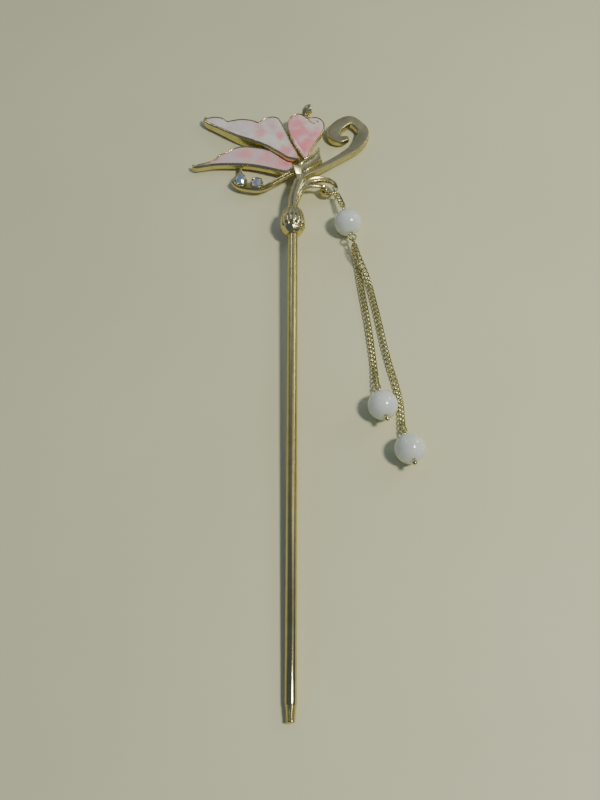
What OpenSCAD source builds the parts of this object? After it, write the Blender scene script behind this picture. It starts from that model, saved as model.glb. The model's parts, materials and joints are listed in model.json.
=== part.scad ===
/* [Stick] */
// Diameter of the round stick
stick_d = 2.8; // [2.4:0.1:3]
// Length of the stick from its blunt tip to the collar
stick_len = 131.9; // [90:0.1:150]
// Length of the tapered tip
tip_len = 4.2; // [3.4:0.1:6]
// Diameter of the blunt end
tip_end_d = 2.1; // [1.5:0.1:2.3]
// Number of turned rings on the tip
tip_rings = 6; // [3:1:6]
// Depth of a turned ring
ring_cut = 0.14; // [0.06:0.02:0.2]
// Diameter of the stick's turned-down end in the collar
stick_spigot_d = 2.0; // [1.6:0.1:2]
// Height of the stick's axis above the surface where it enters the collar
collar_lift = 4.6; // [4.4:0.1:5.6]

/* [Collar] */
// Largest diameter of the lantern collar
collar_d = 7.4; // [6.6:0.1:8]
// Length of the lantern collar
collar_len = 8.4; // [8:0.1:11]
// Number of petals round the upper half
petal_count = 10; // [8:1:12]
// Number of slanted gadroons round the lower half
gadroon_count = 8; // [6:1:10]
// Radius of the groove between two petals
groove_r = 0.55; // [0.4:0.05:0.65]
// Depth of the sockets for the stick and for the neck
socket_depth = 3.6; // [3:0.1:3.8]
// Diameter of the neck's spigot in the collar
spigot_d = 2.6; // [2.2:0.1:2.8]
// Clearance round a glued fit
fit_gap = 0.05; // [0.03:0.01:0.1]

/* [Wings] */
// Length of the upper wing
forewing_len = 35.5; // [30:0.5:40]
// Width of the upper wing
forewing_w = 12.5; // [11:0.5:14]
// Length of the lower wing
hindwing_len = 31; // [27:0.5:34]
// Width of the lower wing
hindwing_w = 10.5; // [9:0.5:12]
// Length of the heart-shaped wing
petal_len = 19.5; // [17:0.5:22]
// Width of the heart-shaped wing
petal_w = 12; // [10:0.5:13]
// Thickness of a wing plate
plate_t = 1.3; // [1.1:0.1:1.6]
// Width of the raised wire round the enamel
rim_w = 0.45; // [0.35:0.05:0.6]
// Depth of the enamel
enamel_t = 0.7; // [0.4:0.05:0.8]
// Clearance between the enamel and its tray
enamel_gap = 0.05; // [0.03:0.01:0.08]
// Height of the heavy front edge of each long wing
spar_h = 2.3; // [2:0.1:2.6]
// Height of the front edge of the lower wing
hind_spar_h = 1.8; // [1.6:0.1:2.2]
// Width of the heavy front edge
spar_w = 1.1; // [0.9:0.1:1.4]

/* [Scrolls] */
// Sideways reach of the large scroll
scroll_reach = 19.4; // [17:0.2:21]
// Rise of the large scroll above its root
scroll_rise = 23.5; // [21:0.5:25]
// Greatest width of the scroll's band
scroll_band_w = 3.8; // [3.2:0.1:4.2]
// Thickness of the scroll's band
scroll_band_t = 2.4; // [2:0.1:2.6]
// Sideways reach of the small hook that carries the drop
hook_reach = 12.6; // [11.8:0.2:13.2]
// Width of the hook's band
hook_band_w = 1.8; // [1.6:0.1:2]
// Sideways reach of the arm that carries the stones
arm_reach = 19; // [18:0.5:20]
// Width of the stone arm
arm_w = 1.8; // [1.6:0.1:2.2]
// Diameter of the neck
neck_d = 3; // [2.8:0.1:3.4]

/* [Stones] */
// Diameter of the round stone
round_stone_d = 3.2; // [2.8:0.1:3.4]
// Width of the drop stone
drop_stone_w = 3; // [2.6:0.1:3.2]
// Length of the drop stone
drop_stone_len = 4.8; // [4.4:0.1:5]
// Wall of a stone cup
cup_wall = 0.35; // [0.3:0.05:0.45]
// Height of a stone cup
cup_h = 1.9; // [1.6:0.1:2.2]
// Clearance between a stone and its cup
stone_gap = 0.05; // [0.03:0.01:0.08]

/* [Drop] */
// Diameter of a bead
bead_d = 8; // [7:0.1:8.6]
// Diameter of the hole through a bead
bead_hole_d = 1; // [0.9:0.05:1.2]
// Diameter of the pin wire in a bead
pin_d = 0.5; // [0.4:0.05:0.6]
// Diameter of the ball on the end of a head pin
ball_d = 1.5; // [1.3:0.1:1.8]
// Inside diameter of a pin's loop
loop_id = 1.7; // [1.6:0.1:2]
// Outside diameter of a jump ring
jump_ring_d = 3.8; // [3.4:0.1:4]
// Outside diameter of the ring that spreads the two chains
spreader_ring_d = 3.2; // [3.1:0.1:3.8]
// Wire of a jump ring
jump_wire_d = 0.5; // [0.4:0.05:0.55]
// Distance from one chain link to the next
link_pitch = 1.35; // [1.3:0.01:1.38]
// Half of a link's centre line across the chain
link_half_w = 0.74; // [0.7:0.01:0.78]
// Half of a link's centre line along the chain
link_half_len = 1.02; // [1:0.01:1.05]
// How far a link's sides are twisted up and down
link_twist = 0.38; // [0.35:0.01:0.4]
// Wire of a chain link
link_wire_d = 0.38; // [0.34:0.01:0.4]

/* [Hidden] */
$fn = 48;
gold = [0.86, 0.80, 0.60];
enamel_pink = [0.95, 0.80, 0.82];
jade_white = [0.86, 0.88, 0.88];

// The stick lies along Y, left of the middle of the whole hairpin
stick_x = -1.4;
// The butterfly ends this far above the collar
head_len = 39.9;
// Half of the whole hairpin, so that the frame's origin is under its middle
half_len = (stick_len + collar_len + head_len) / 2;
tip_y = -half_len;
// The shank's lower side touches the surface where the taper ends
stick_tilt = asin((collar_lift - stick_d / 2) / (stick_len - tip_len));
axis_start_z = stick_d / 2 * cos(stick_tilt) - tip_len * sin(stick_tilt);
collar_y = tip_y + stick_len * cos(stick_tilt);
top_y = collar_y + collar_len;
top_z = axis_start_z + (stick_len + collar_len) * sin(stick_tilt);

// Collar profile: share of the length, share of the radius
COLLAR_PROFILE = [[0, 0.50], [0.03, 0.62], [0.12, 0.78], [0.25, 0.90], [0.38, 0.98], [0.50, 1.00],
    [0.62, 0.98], [0.74, 0.94], [0.86, 0.87], [0.95, 0.79], [1.00, 0.70]];

// Wing outlines: share of the length, share of the width, 1 for a sharp corner
FOREWING = [[0.00, 0.00, 1], [0.10, -0.07, 0], [0.20, -0.03, 0], [0.33, 0.01, 0], [0.48, -0.01, 0],
    [0.63, -0.06, 0], [0.80, -0.06, 0], [0.97, -0.04, 0], [1.00, 0.07, 0], [0.94, 0.24, 0],
    [0.87, 0.31, 0], [0.80, 0.28, 1], [0.76, 0.39, 0], [0.70, 0.52, 0], [0.62, 0.60, 0],
    [0.55, 0.62, 1], [0.53, 0.79, 0], [0.48, 0.95, 0], [0.42, 0.98, 0], [0.36, 0.88, 0],
    [0.27, 0.68, 0], [0.16, 0.43, 0], [0.07, 0.25, 0], [0.00, 0.08, 1]];
HINDWING = [[0.00, 0.00, 1], [0.07, -0.06, 0], [0.19, 0.04, 0], [0.38, 0.20, 0], [0.55, 0.27, 0],
    [0.78, 0.28, 0], [0.97, 0.20, 0], [1.00, 0.27, 0], [0.96, 0.35, 0], [0.86, 0.43, 0],
    [0.78, 0.54, 1], [0.75, 0.69, 0], [0.68, 0.78, 1], [0.61, 0.93, 0], [0.52, 1.00, 0],
    [0.43, 0.98, 0], [0.28, 0.88, 0], [0.13, 0.66, 0], [0.00, 0.38, 1]];
HEART_WING = [[0.02, 0.00, 1], [0.30, -0.24, 0], [0.51, -0.38, 0], [0.71, -0.46, 0], [0.86, -0.43, 0],
    [0.97, -0.31, 0], [1.00, -0.10, 0], [0.91, 0.08, 1], [0.93, 0.25, 0], [0.90, 0.40, 0],
    [0.81, 0.51, 0], [0.68, 0.53, 0], [0.54, 0.44, 0], [0.40, 0.32, 0], [0.26, 0.21, 0],
    [0.05, 0.09, 1]];

// How much deeper than its ends the upper wing's front edge is at each row of its outline
FOREWING_KEEL = [0, 0, 0, 0.6, 1.3, 0.9, 0.2, 0, 0];

// Each wing's root from the collar's top, its heading in the plan and its rise towards the root
forewing_root = [1.6, 19.4, 4.9];
forewing_heading = 148.7;
forewing_rise = 3.6;
hindwing_root = [0.1, 16.4, 3.5];
hindwing_heading = 180;
hindwing_rise = 2.2;
heart_root = [3.5, 18.9, 5.5];
heart_heading = 90;
heart_rise = 1.5;

// Bars: share of the reach, share of the rise, height of the middle, share of the width, of the thickness
SCROLL = [[-0.13, -0.13, 4.3, 0.50, 0.95], [-0.03, -0.05, 4.2, 0.55, 1.00], [0.10, 0.02, 3.8, 0.55, 1.00],
    [0.34, 0.18, 2.9, 0.54, 0.92], [0.58, 0.35, 2.1, 0.66, 0.90], [0.78, 0.51, 1.6, 0.86, 0.95],
    [0.88, 0.68, 1.3, 1.00, 1.00], [0.89, 0.80, 1.4, 0.92, 1.00], [0.81, 0.885, 1.8, 0.84, 0.95],
    [0.735, 0.935, 2.1, 0.84, 0.90], [0.67, 0.945, 2.2, 0.88, 0.95], [0.595, 0.92, 2.1, 0.98, 1.00],
    [0.485, 0.85, 1.9, 1.06, 1.00], [0.415, 0.745, 1.8, 1.12, 1.00], [0.44, 0.66, 1.8, 1.00, 0.95],
    [0.53, 0.62, 1.9, 0.72, 0.85], [0.62, 0.64, 2.0, 0.50, 0.75]];
HOOK = [[-0.02, -0.06, 4.9, 0.90, 1.10], [0.06, 0.21, 4.8, 0.95, 1.20], [0.13, 0.44, 4.7, 1.00, 1.20],
    [0.23, 0.62, 4.5, 1.00, 1.10], [0.38, 0.74, 4.3, 1.00, 1.00], [0.57, 0.80, 4.1, 0.95, 0.90],
    [0.77, 0.79, 3.8, 0.85, 0.80], [0.92, 0.70, 3.4, 0.66, 0.65], [0.97, 0.58, 3.0, 0.52, 0.52],
    [0.89, 0.46, 2.7, 0.52, 0.52], [0.75, 0.42, 2.5, 0.72, 0.72], [0.65, 0.47, 2.5, 0.80, 0.80],
    [0.62, 0.565, 2.7, 0.80, 0.80], [0.69, 0.63, 2.8, 0.80, 0.80]];
STONE_ARM = [[0.00, 1.00, 4.2, 0.95, 0.90], [0.09, 0.85, 3.9, 1.00, 0.90], [0.28, 0.53, 3.4, 1.00, 0.90],
    [0.45, 0.25, 2.9, 0.95, 0.90], [0.60, 0.09, 2.5, 0.85, 0.85], [0.74, 0.12, 2.3, 0.68, 0.80],
    [0.87, 0.20, 2.2, 0.62, 0.80], [0.97, 0.34, 2.2, 0.52, 0.75], [1.03, 0.53, 2.3, 0.36, 0.70]];
NECK = [[0.00, 0.00, 0.00, 1.00, 1.00], [0.01, 0.14, 0.15, 1.00, 1.00], [0.09, 0.37, 0.40, 1.03, 1.00],
    [0.28, 0.60, 0.60, 1.10, 1.00], [0.54, 0.82, 0.80, 1.20, 1.02], [0.84, 1.00, 0.95, 1.20, 1.00],
    [1.00, 1.10, 1.00, 1.00, 0.90]];
BODY = [[-0.25, 0.03, 4.4, 0.15, 0.45], [-0.07, -0.02, 4.5, 0.55, 0.85], [0.19, 0.06, 4.6, 0.78, 1.00],
    [0.48, 0.25, 4.8, 0.84, 0.98], [0.70, 0.46, 4.8, 0.94, 0.90], [0.82, 0.575, 4.9, 1.08, 0.70],
    [0.87, 0.58, 4.9, 1.15, 0.55]];
// Cross sections of the bars, from -1 to 1 across and from -1 to 1 in height
BAND_SECTION = [[-0.85, -0.85], [0.00, -1.00], [0.80, -0.90], [1.00, -0.25], [0.85, 0.45], [0.40, 1.00],
    [-0.20, 0.80], [-0.80, 0.35], [-1.00, -0.20]];
ROUND_SECTION = [for (i = [0:9]) [cos(36 * i - 90), sin(36 * i - 90)]];
TWIN_SECTION = [[-0.80, -0.75], [0.00, -1.00], [0.80, -0.75], [1.00, 0.10], [0.62, 0.95], [0.25, 0.80],
    [0.00, 0.35], [-0.25, 0.80], [-0.62, 0.95], [-1.00, 0.10]];
LEAF_SECTION = [[-0.90, -0.70], [0.00, -1.00], [0.95, -0.60], [1.00, 0.00], [0.62, 0.30], [0.30, 0.20],
    [0.05, 1.00], [-0.30, 0.45], [-0.60, 0.55], [-1.00, 0.00]];
BOX_SECTION = [[-1, -1], [1, -1], [1, 1], [-1, 1]];
SPAR_SECTION = [[-1.00, -0.90], [0.00, -1.00], [1.00, -0.90], [1.00, 0.70], [0.60, 1.00], [-0.60, 1.00],
    [-1.00, 0.70]];

// Where each bar starts, from the collar's top, and the sizes that only this casting has
scroll_root = [4.7, 15.5];
hook_root = [1.0, 3.4];
hook_rise = 11.5;
arm_root = [1.0, 15.9];
arm_drop = 6.6;
neck_side = 3.6;
neck_len = 13.7;
neck_end_z = 4.4;
body_root = [1.4, 16.5];
body_len = 8.4;
body_w = 4.2;
body_h = 3.4;
// Height of the tall copies that keep the enamel off its neighbours
clear_h = 3 * body_h;
// How far a heavy front edge stands over its plate
spar_over = 0.2;
// The curl at the notch of the heart-shaped wing
curl_r = 1.5;
curl_wall = 0.6;
curl_len = 2.8;
curl_drop = 0.4;
curl_x = petal_len * 1.03;
curl_y = petal_w * 0.10;
// Height of a stone cup's foot above the surface, and of a stone's parts
cup_foot = 1.4;
cup_sink = 0.35;
stone_crown = 0.7;
stone_girdle = 0.25;
stone_pavilion = 1.0;
claw_d = 0.56;
// The post between the drop stone's cup and the lower wing, and where it meets the wing's width
post_d = 1.1;
post_share = 0.25;
// How far apart linked wires stay: at a chain's end, at the hook's band and in the eye pin's loop
link_clear = 0.22;
band_clear = 0.35;
loop_clear = 0.3;
// The jump ring leans over, so that it shows as a ring from above
ring_lean = -25;
// How far the spreader ring dips towards the surface, and the chains' places round it
spreader_dip = 20;
spread_half = 25;
// How far an end link turns about the chain on a ring and on a pin's loop, and over how many links
ring_roll = 15;
loop_roll = -16;
roll_links = 4;

// Chain routes: chosen points from the hook's eye, with the height above the surface
LEFT_ROUTE = [[5.6, -22.7, 0.85], [6.0, -25.0, 0.65], [6.85, -32.8, 0.65], [7.7, -39.5, 0.65],
    [8.5, -46.1, 0.65], [9.1, -52.5, 0.65], [9.6, -58.8, 0.65]];
RIGHT_ROUTE = [[5.95, -23.7, 3.5], [6.9, -26.0, 2.6], [8.05, -28.4, 1.5], [9.1, -31.7, 0.75],
    [10.6, -39.5, 0.65], [11.7, -46.1, 0.65], [12.7, -52.5, 0.65], [13.9, -58.8, 0.65],
    [15.3, -64.9, 0.65], [16.2, -70.6, 0.65]];
// Bead middles from the hook's eye, and each pin's heading in the plan and dip towards its chain
upper_bead_at = [3.5, -12.8];
upper_heading = 102;
left_bead_at = [11.1, -72.2];
left_heading = 99;
left_dip = 18;
right_bead_at = [17.5, -84.5];
right_heading = 99;
right_dip = 20;

// A smooth value at share t between b and c, with a before and d after
function blend(a, b, c, d, t) = 0.5 * (2 * b + (c - a) * t + (2 * a - 5 * b + 4 * c - d) * t * t
    + (3 * b - 3 * c + d - a) * t * t * t);
function row_at(rows, i) = rows[max(0, min(len(rows) - 1, i))];
function smooth(rows, steps) = concat([for (i = [0 : len(rows) - 2]) for (s = [0 : steps - 1])
    blend(row_at(rows, i - 1), rows[i], rows[i + 1], row_at(rows, i + 2), s / steps)], [rows[len(rows) - 1]]);

// A closed outline through the rows, smooth except at its corners
function neighbour(rows, i, step) = rows[i][2] == 1 ? rows[i] : rows[(i + step + len(rows)) % len(rows)];
function outline(rows, long, wide, steps = 3) = [for (i = [0 : len(rows) - 1]) for (s = [0 : steps - 1])
    let (j = (i + 1) % len(rows), p = blend(neighbour(rows, i, -1), rows[i], rows[j], neighbour(rows, j, 1),
        s / steps)) [p[0] * long, p[1] * wide]];

function unit(v) = v / norm(v);
function flat(v) = [v[0], v[1], 0];
// Rows of [x, y, z, width, thickness]: the direction in the plan at row i
function heading_at(rows, i) = unit(flat(row_at(rows, i + 1) - row_at(rows, i - 1)));
function section_ring(rows, i, section) = let (t = heading_at(rows, i), side = [-t[1], t[0], 0])
    [for (s = section) [rows[i][0], rows[i][1], rows[i][2] + rows[i][4] / 2 * s[1]]
        + rows[i][3] / 2 * s[0] * side];
// Faces round stacked rings of m points each, closed at both ends
function tube_faces(n, m) = concat([[for (j = [0 : m - 1]) j]],
    [for (i = [0 : n - 2]) for (j = [0 : m - 1])
        [(i + 1) * m + j, (i + 1) * m + (j + 1) % m, i * m + (j + 1) % m, i * m + j]],
    [[for (j = [m - 1 : -1 : 0]) (n - 1) * m + j]]);

// A bar with an upright section swept along smoothed rows
module bar(rows, section, steps = 3) {
    path = smooth(rows, steps);
    rings = [for (i = [0 : len(path) - 1]) each section_ring(path, i, section)];
    polyhedron(points = rings, faces = tube_faces(len(path), len(section)), convexity = 6);
}

// A solid whose level outlines are scaled copies of one outline: levels of [height, scale]
module stack(shape, levels) {
    points = [for (l = levels) for (p = shape) [p[0] * l[1], p[1] * l[1], l[0]]];
    polyhedron(points = points, faces = tube_faces(len(levels), len(shape)), convexity = 4);
}

// Bars of the casting in the whole part's frame
function placed(rows, root, reach, rise, wide, thick) = [for (r = rows)
    [stick_x + root[0] + r[0] * reach, top_y + root[1] + r[1] * rise, r[2], r[3] * wide, r[4] * thick]];
scroll_rows = placed(SCROLL, scroll_root, scroll_reach, scroll_rise, scroll_band_w, scroll_band_t);
hook_rows = placed(HOOK, hook_root, hook_reach, hook_rise, hook_band_w, hook_band_w);
arm_rows = placed([for (r = STONE_ARM) [r[0], r[1] - 1, r[2], r[3], r[4]]], arm_root, -arm_reach, arm_drop,
    arm_w, arm_w);
body_rows = placed(BODY, body_root, body_len, body_len, body_w, body_h);
neck_rows = [for (r = NECK) [stick_x + r[0] * neck_side, top_y + 2 * fit_gap + r[1] * neck_len,
    top_z + (neck_end_z - top_z) * r[2], r[3] * neck_d, r[4] * neck_d]];

// The hook's eye, where the jump ring hangs round the band
eye_row = 8;
eye = [for (k = [0:2]) (hook_rows[eye_row][k] + hook_rows[eye_row + 1][k]) / 2];
eye_band_w = hook_rows[eye_row][3];

// Places of the stones along the arm
round_cup_r = round_stone_d / 2 + stone_gap + cup_wall;
drop_cup_w = drop_stone_w + 2 * (stone_gap + cup_wall);
drop_cup_len = drop_stone_len + 2 * (stone_gap + cup_wall);
// Each cup sits against the arm at one of its rows, smoothed in 4 steps
round_cup_row = 17;
drop_cup_row = 25;
round_row = smooth(arm_rows, 4)[round_cup_row];
drop_row = smooth(arm_rows, 4)[drop_cup_row];
round_at = [round_row[0], round_row[1] + round_row[3] / 2 + round_cup_r - cup_sink, cup_foot];
drop_at = [drop_row[0], drop_row[1] + drop_row[3] / 2 + drop_cup_len / 2 - cup_sink, cup_foot];
girdle_z = cup_h - 0.15;

// A pear outline with its point at +Y
function pear(wide, long, count = 14) = [for (i = [0 : count - 1]) let (a = 360 * i / count)
    [-wide / 1.54 * sin(a) * abs(sin(a / 2)), long / 2 * cos(a)]];
function ngon(d, count = 8) = [for (i = [0 : count - 1]) let (a = 360 * (i + 0.5) / count)
    [d / 2 * cos(a), d / 2 * sin(a)]];

// Children drawn along +Y from the tip, on the tilted axis of the stick
module along_stick() translate([stick_x, tip_y, axis_start_z]) rotate([stick_tilt, 0, 0]) children();
// A turned shape whose profile runs along +Y
module turned(profile) rotate([-90, 0, 0]) rotate_extrude() polygon(profile);

// Radius of the tip's taper at a place along it
function taper(y) = (tip_end_d + (stick_d - tip_end_d) * y / tip_len) / 2;
rings_from = tip_len * 0.12;
ring_pitch = tip_len * 0.8 / tip_rings;
shoulder = stick_len - 2 * fit_gap;
stick_end = stick_len + socket_depth - fit_gap;
module stick() color(gold) along_stick() turned(concat(
    [[0, 0], [tip_end_d * 0.35, 0], [taper(rings_from), rings_from]],
    [for (i = [0 : tip_rings - 1]) for (q = [[0.2, 0], [0.5, ring_cut], [0.8, 0]])
        let (y = rings_from + (i + q[0]) * ring_pitch) [taper(y) - q[1], y]],
    [[stick_d / 2, tip_len], [stick_d / 2, shoulder], [stick_spigot_d / 2, shoulder],
        [stick_spigot_d / 2, stick_end], [0, stick_end]]));

module collar() color(gold) along_stick() translate([0, stick_len, 0]) {
    belt = collar_len / 2;
    groove_out = collar_d / 2 + groove_r * 0.45;
    petal_lean = atan((collar_d / 2 * 0.30) / belt);
    gadroon_lean = atan((collar_d / 2 * 0.52) / belt);
    difference() {
        turned(concat([[0, 0]], [for (p = COLLAR_PROFILE) [p[1] * collar_d / 2, p[0] * collar_len]],
            [[0, collar_len]]));
        rotate([-90, 0, 0]) {
            translate([0, 0, -1]) cylinder(d = stick_spigot_d + 2 * fit_gap, h = socket_depth + 1);
            translate([0, 0, collar_len - socket_depth])
                cylinder(d = spigot_d + 2 * fit_gap, h = socket_depth + 1);
            for (i = [0 : petal_count - 1]) rotate([0, 0, 360 * i / petal_count])
                translate([groove_out, 0, belt * 1.12]) rotate([0, -petal_lean, 0])
                cylinder(r = groove_r, h = belt + 1);
            for (i = [0 : gadroon_count - 1]) rotate([0, 0, 360 * i / gadroon_count])
                translate([groove_out, 0, belt * 0.84]) rotate([-14, 0, 0]) rotate([0, 180 + gadroon_lean, 0])
                cylinder(r = groove_r, h = belt + 1);
        }
    }
}

// Children drawn in a wing's own frame: X to its tip, Y to its outer edge, top of the plate at Z = 0
module on_wing(root, heading, rise) translate([stick_x + root[0], top_y + root[1], root[2]])
    rotate([0, rise, heading]) mirror([0, 1, 0]) children();
module on_forewing() on_wing(forewing_root, forewing_heading, forewing_rise) children();
module on_hindwing() on_wing(hindwing_root, hindwing_heading, hindwing_rise) children();
module on_heart_wing() on_wing(heart_root, heart_heading, heart_rise) children();
forewing_shape = outline(FOREWING, forewing_len, forewing_w);
hindwing_shape = outline(HINDWING, hindwing_len, hindwing_w);
heart_shape = outline(HEART_WING, petal_len, petal_w);

// A plate, and its heavy edge where it has one, with a tray cut into the top for the enamel
module wing_plate(shape) difference() {
    union() {
        translate([0, 0, -plate_t]) linear_extrude(plate_t) polygon(shape);
        children();
    }
    translate([0, 0, -enamel_t]) linear_extrude(enamel_t + 1) offset(delta = -rim_w) polygon(shape);
}
module wing_enamel(shape) translate([0, 0, enamel_gap - enamel_t]) linear_extrude(enamel_t - 2 * enamel_gap)
    offset(delta = -rim_w - enamel_gap) polygon(shape);
// The heavy front edge, along the first rows of a wing's outline, deeper by its keel
module spar(rows, last, long, wide, tall, keel = []) bar([for (i = [0 : last])
    let (deep = tall + (keel[i] == undef ? 0 : keel[i]))
    [rows[i][0] * long, rows[i][1] * wide + spar_w * 0.4, spar_over - deep / 2,
    spar_w * (i == last ? 0.8 : 1), deep]], SPAR_SECTION, 2);
// A tall copy of a wing's outline, to keep another wing's enamel off it
module wing_clearance(shape) translate([0, 0, -clear_h / 2]) linear_extrude(clear_h)
    offset(delta = spar_w * 0.15 + enamel_gap) polygon(shape);

module claw() hull() {
    translate([0, 0, cup_h * 0.4]) sphere(d = claw_d * 0.8, $fn = 8);
    translate([0, 0, cup_h + 0.1]) sphere(d = claw_d, $fn = 8);
}
module cup_hole() translate([0, 0, girdle_z - stone_pavilion - 2 * stone_gap]) children();
module round_cup() difference() {
    union() {
        cylinder(r = round_cup_r, h = cup_h);
        for (i = [0:3]) rotate([0, 0, 90 * i + 45])
            translate([round_cup_r - cup_wall + claw_d / 2, 0, 0]) claw();
    }
    cup_hole() cylinder(r = round_stone_d / 2 + stone_gap, h = 2 * cup_h);
}
module drop_cup() difference() {
    union() {
        linear_extrude(cup_h) polygon(pear(drop_cup_w, drop_cup_len));
        for (a = [35, 90, 145]) for (side = [-1, 1]) translate([side * (drop_cup_w / 2 - 0.05) * sin(a),
            -drop_stone_len * 0.12 - drop_cup_len * 0.38 * cos(180 - a), 0]) claw();
    }
    cup_hole() linear_extrude(2 * cup_h)
        polygon(pear(drop_stone_w + 2 * stone_gap, drop_stone_len + 4 * stone_gap));
}
// The post from the drop stone's cup to the lower wing's edge
module cup_post() hull() {
    translate(drop_at + [0, drop_cup_len * 0.42, cup_h * 0.5]) sphere(d = post_d, $fn = 10);
    translate([drop_at[0], top_y + hindwing_root[1] + hindwing_w * post_share, cup_foot + cup_h * 0.35])
        sphere(d = post_d, $fn = 10);
}
// Its stem stands on the plate at the notch
module notch_stem() on_heart_wing() hull() {
    translate([petal_len * 0.90, petal_w * 0.08, (-plate_t - enamel_t) / 2])
        sphere(d = plate_t - enamel_t, $fn = 8);
    translate([curl_x - curl_r * 0.8, curl_y, -plate_t / 2]) sphere(d = plate_t, $fn = 8);
}
module notch_curl() on_heart_wing() translate([curl_x, curl_y, -curl_drop])
    rotate([70, 0, 25]) translate([0, 0, -curl_len / 2]) rotate_extrude(angle = 300, start = -120, $fn = 20)
    translate([curl_r - curl_wall / 2, 0]) square([curl_wall, curl_len]);

module butterfly_frame() color(gold) {
    along_stick() translate([0, stick_len + collar_len - socket_depth + fit_gap, 0]) rotate([-90, 0, 0])
        cylinder(d = spigot_d, h = socket_depth + 1);
    bar(neck_rows, ROUND_SECTION);
    bar(body_rows, LEAF_SECTION, 2);
    bar(scroll_rows, BAND_SECTION);
    bar(hook_rows, BAND_SECTION);
    bar(arm_rows, TWIN_SECTION);
    on_forewing() wing_plate(forewing_shape) spar(FOREWING, 8, forewing_len, forewing_w, spar_h,
        FOREWING_KEEL);
    on_hindwing() wing_plate(hindwing_shape) spar(HINDWING, 7, hindwing_len, hindwing_w, hind_spar_h);
    on_heart_wing() wing_plate(heart_shape);
    notch_curl();
    notch_stem();
    translate(round_at) round_cup();
    translate(drop_at) drop_cup();
    cup_post();
}

// A tall and slightly wider copy of a bar, to keep the enamel off it
module bar_clearance(rows) bar([for (r = rows) [r[0], r[1], r[2], r[3] + 4 * enamel_gap, clear_h]],
    BOX_SECTION, 2);
module forewing_enamel() color(enamel_pink) difference() {
    on_forewing() wing_enamel(forewing_shape);
    on_heart_wing() wing_clearance(heart_shape);
    bar_clearance(body_rows);
}
module hindwing_enamel() color(enamel_pink) difference() {
    on_hindwing() wing_enamel(hindwing_shape);
    on_forewing() wing_clearance(forewing_shape);
    bar_clearance(body_rows);
    bar_clearance(arm_rows);
}
module heart_wing_enamel() color(enamel_pink) difference() {
    on_heart_wing() wing_enamel(heart_shape);
    bar_clearance(body_rows);
}

// Levels of a cut stone: culet, lower girdle, upper girdle and table
stone_levels = [[-stone_pavilion, 0.25], [0, 1], [stone_girdle, 1], [stone_girdle + stone_crown, 0.58]];
module drop_stone() color("lavender") translate(drop_at + [0, 0, girdle_z])
    stack(pear(drop_stone_w, drop_stone_len), stone_levels);
module round_stone() color("lavender") translate(round_at + [0, 0, girdle_z])
    stack(ngon(round_stone_d, 10), stone_levels);

// A ring of wire in the plane of two unit vectors
module wire_ring(at, u, v, radius, wire) {
    n = cross(u, v);
    multmatrix([for (k = [0:2]) [u[k], v[k], n[k], at[k]]])
        rotate_extrude() translate([radius, 0]) circle(d = wire, $fn = 24);
}

// Directions of a bead's pin and places along it, from the bead's middle to its loops
function pin_dir(heading, dip) = [cos(dip) * cos(heading), cos(dip) * sin(heading), -sin(dip)];
function bead_middle(at) = [eye[0] + at[0], eye[1] + at[1], bead_d / 2];
loop_r = (loop_id + pin_d) / 2;
loop_at = bead_d / 2 + loop_clear + loop_r;
ball_at = bead_d / 2 + ball_d / 2 + fit_gap;
module on_bead(at, heading, dip) translate(bead_middle(at)) rotate([0, dip, heading]) children();
module drilled_bead() rotate([0, 90, 0]) rotate_extrude() difference() {
    circle(d = bead_d);
    translate([-bead_d, -bead_d]) square([bead_d + bead_hole_d / 2, 2 * bead_d]);
}
module upper_bead() color(jade_white) on_bead(upper_bead_at, upper_heading, 0) drilled_bead();
module left_bead() color(jade_white) on_bead(left_bead_at, left_heading, left_dip) drilled_bead();
module right_bead() color(jade_white) on_bead(right_bead_at, right_heading, right_dip) drilled_bead();
module wire_loop(turn) rotate([turn, 0, 0]) rotate_extrude() translate([loop_r, 0])
    circle(d = pin_d, $fn = 24);
module head_pin() {
    translate([-ball_at, 0, 0]) rotate([0, 0, 90]) sphere(d = ball_d);
    translate([-ball_at, 0, 0]) rotate([0, 90, 0]) cylinder(d = pin_d, h = ball_at + loop_at - loop_r);
    translate([loop_at, 0, 0]) wire_loop(90);
}
module left_head_pin() color(gold) on_bead(left_bead_at, left_heading, left_dip) head_pin();
module right_head_pin() color(gold) on_bead(right_bead_at, right_heading, right_dip) head_pin();
module eye_pin() color(gold) on_bead(upper_bead_at, upper_heading, 0) {
    rotate([0, 90, 0]) cylinder(d = pin_d, h = 2 * (loop_at - loop_r), center = true);
    translate([loop_at, 0, 0]) wire_loop(90);
    translate([-loop_at, 0, 0]) wire_loop(0);
}

// The jump ring hangs on the hook's band, in line with the short chain and the first bead's pin
function side_of(t) = unit(cross(t, [0, 0, 1]));
function loop_middle(at, heading, dip) = bead_middle(at) + loop_at * pin_dir(heading, dip);
ring_r = (jump_ring_d - jump_wire_d) / 2;
top_loop = loop_middle(upper_bead_at, upper_heading, 0);
ring_at = eye + (ring_r - jump_wire_d / 2 - eye_band_w / 2 - band_clear) * unit(flat(top_loop - eye));
pull = unit(top_loop - ring_at);
ring_across = side_of(pull);
ring_up = cos(ring_lean) * cross(ring_across, pull) - sin(ring_lean) * ring_across;
module hook_ring() color(gold) wire_ring(ring_at, pull, ring_up, ring_r, jump_wire_d);

// The spreader ring hangs upright through the eye pin's lower loop
spreader_r = (spreader_ring_d - jump_wire_d) / 2;
spreader_dir = pin_dir(upper_heading + 180, spreader_dip);
spreader_up = cross(side_of(spreader_dir), spreader_dir);
spreader_at = bead_middle(upper_bead_at) - loop_at * pin_dir(upper_heading, 0)
    + (loop_r - pin_d / 2 - jump_wire_d / 2 - loop_clear + spreader_r) * spreader_dir;
module spreader_ring() color(gold)
    wire_ring(spreader_at, spreader_dir, spreader_up, spreader_r, jump_wire_d);

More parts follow.
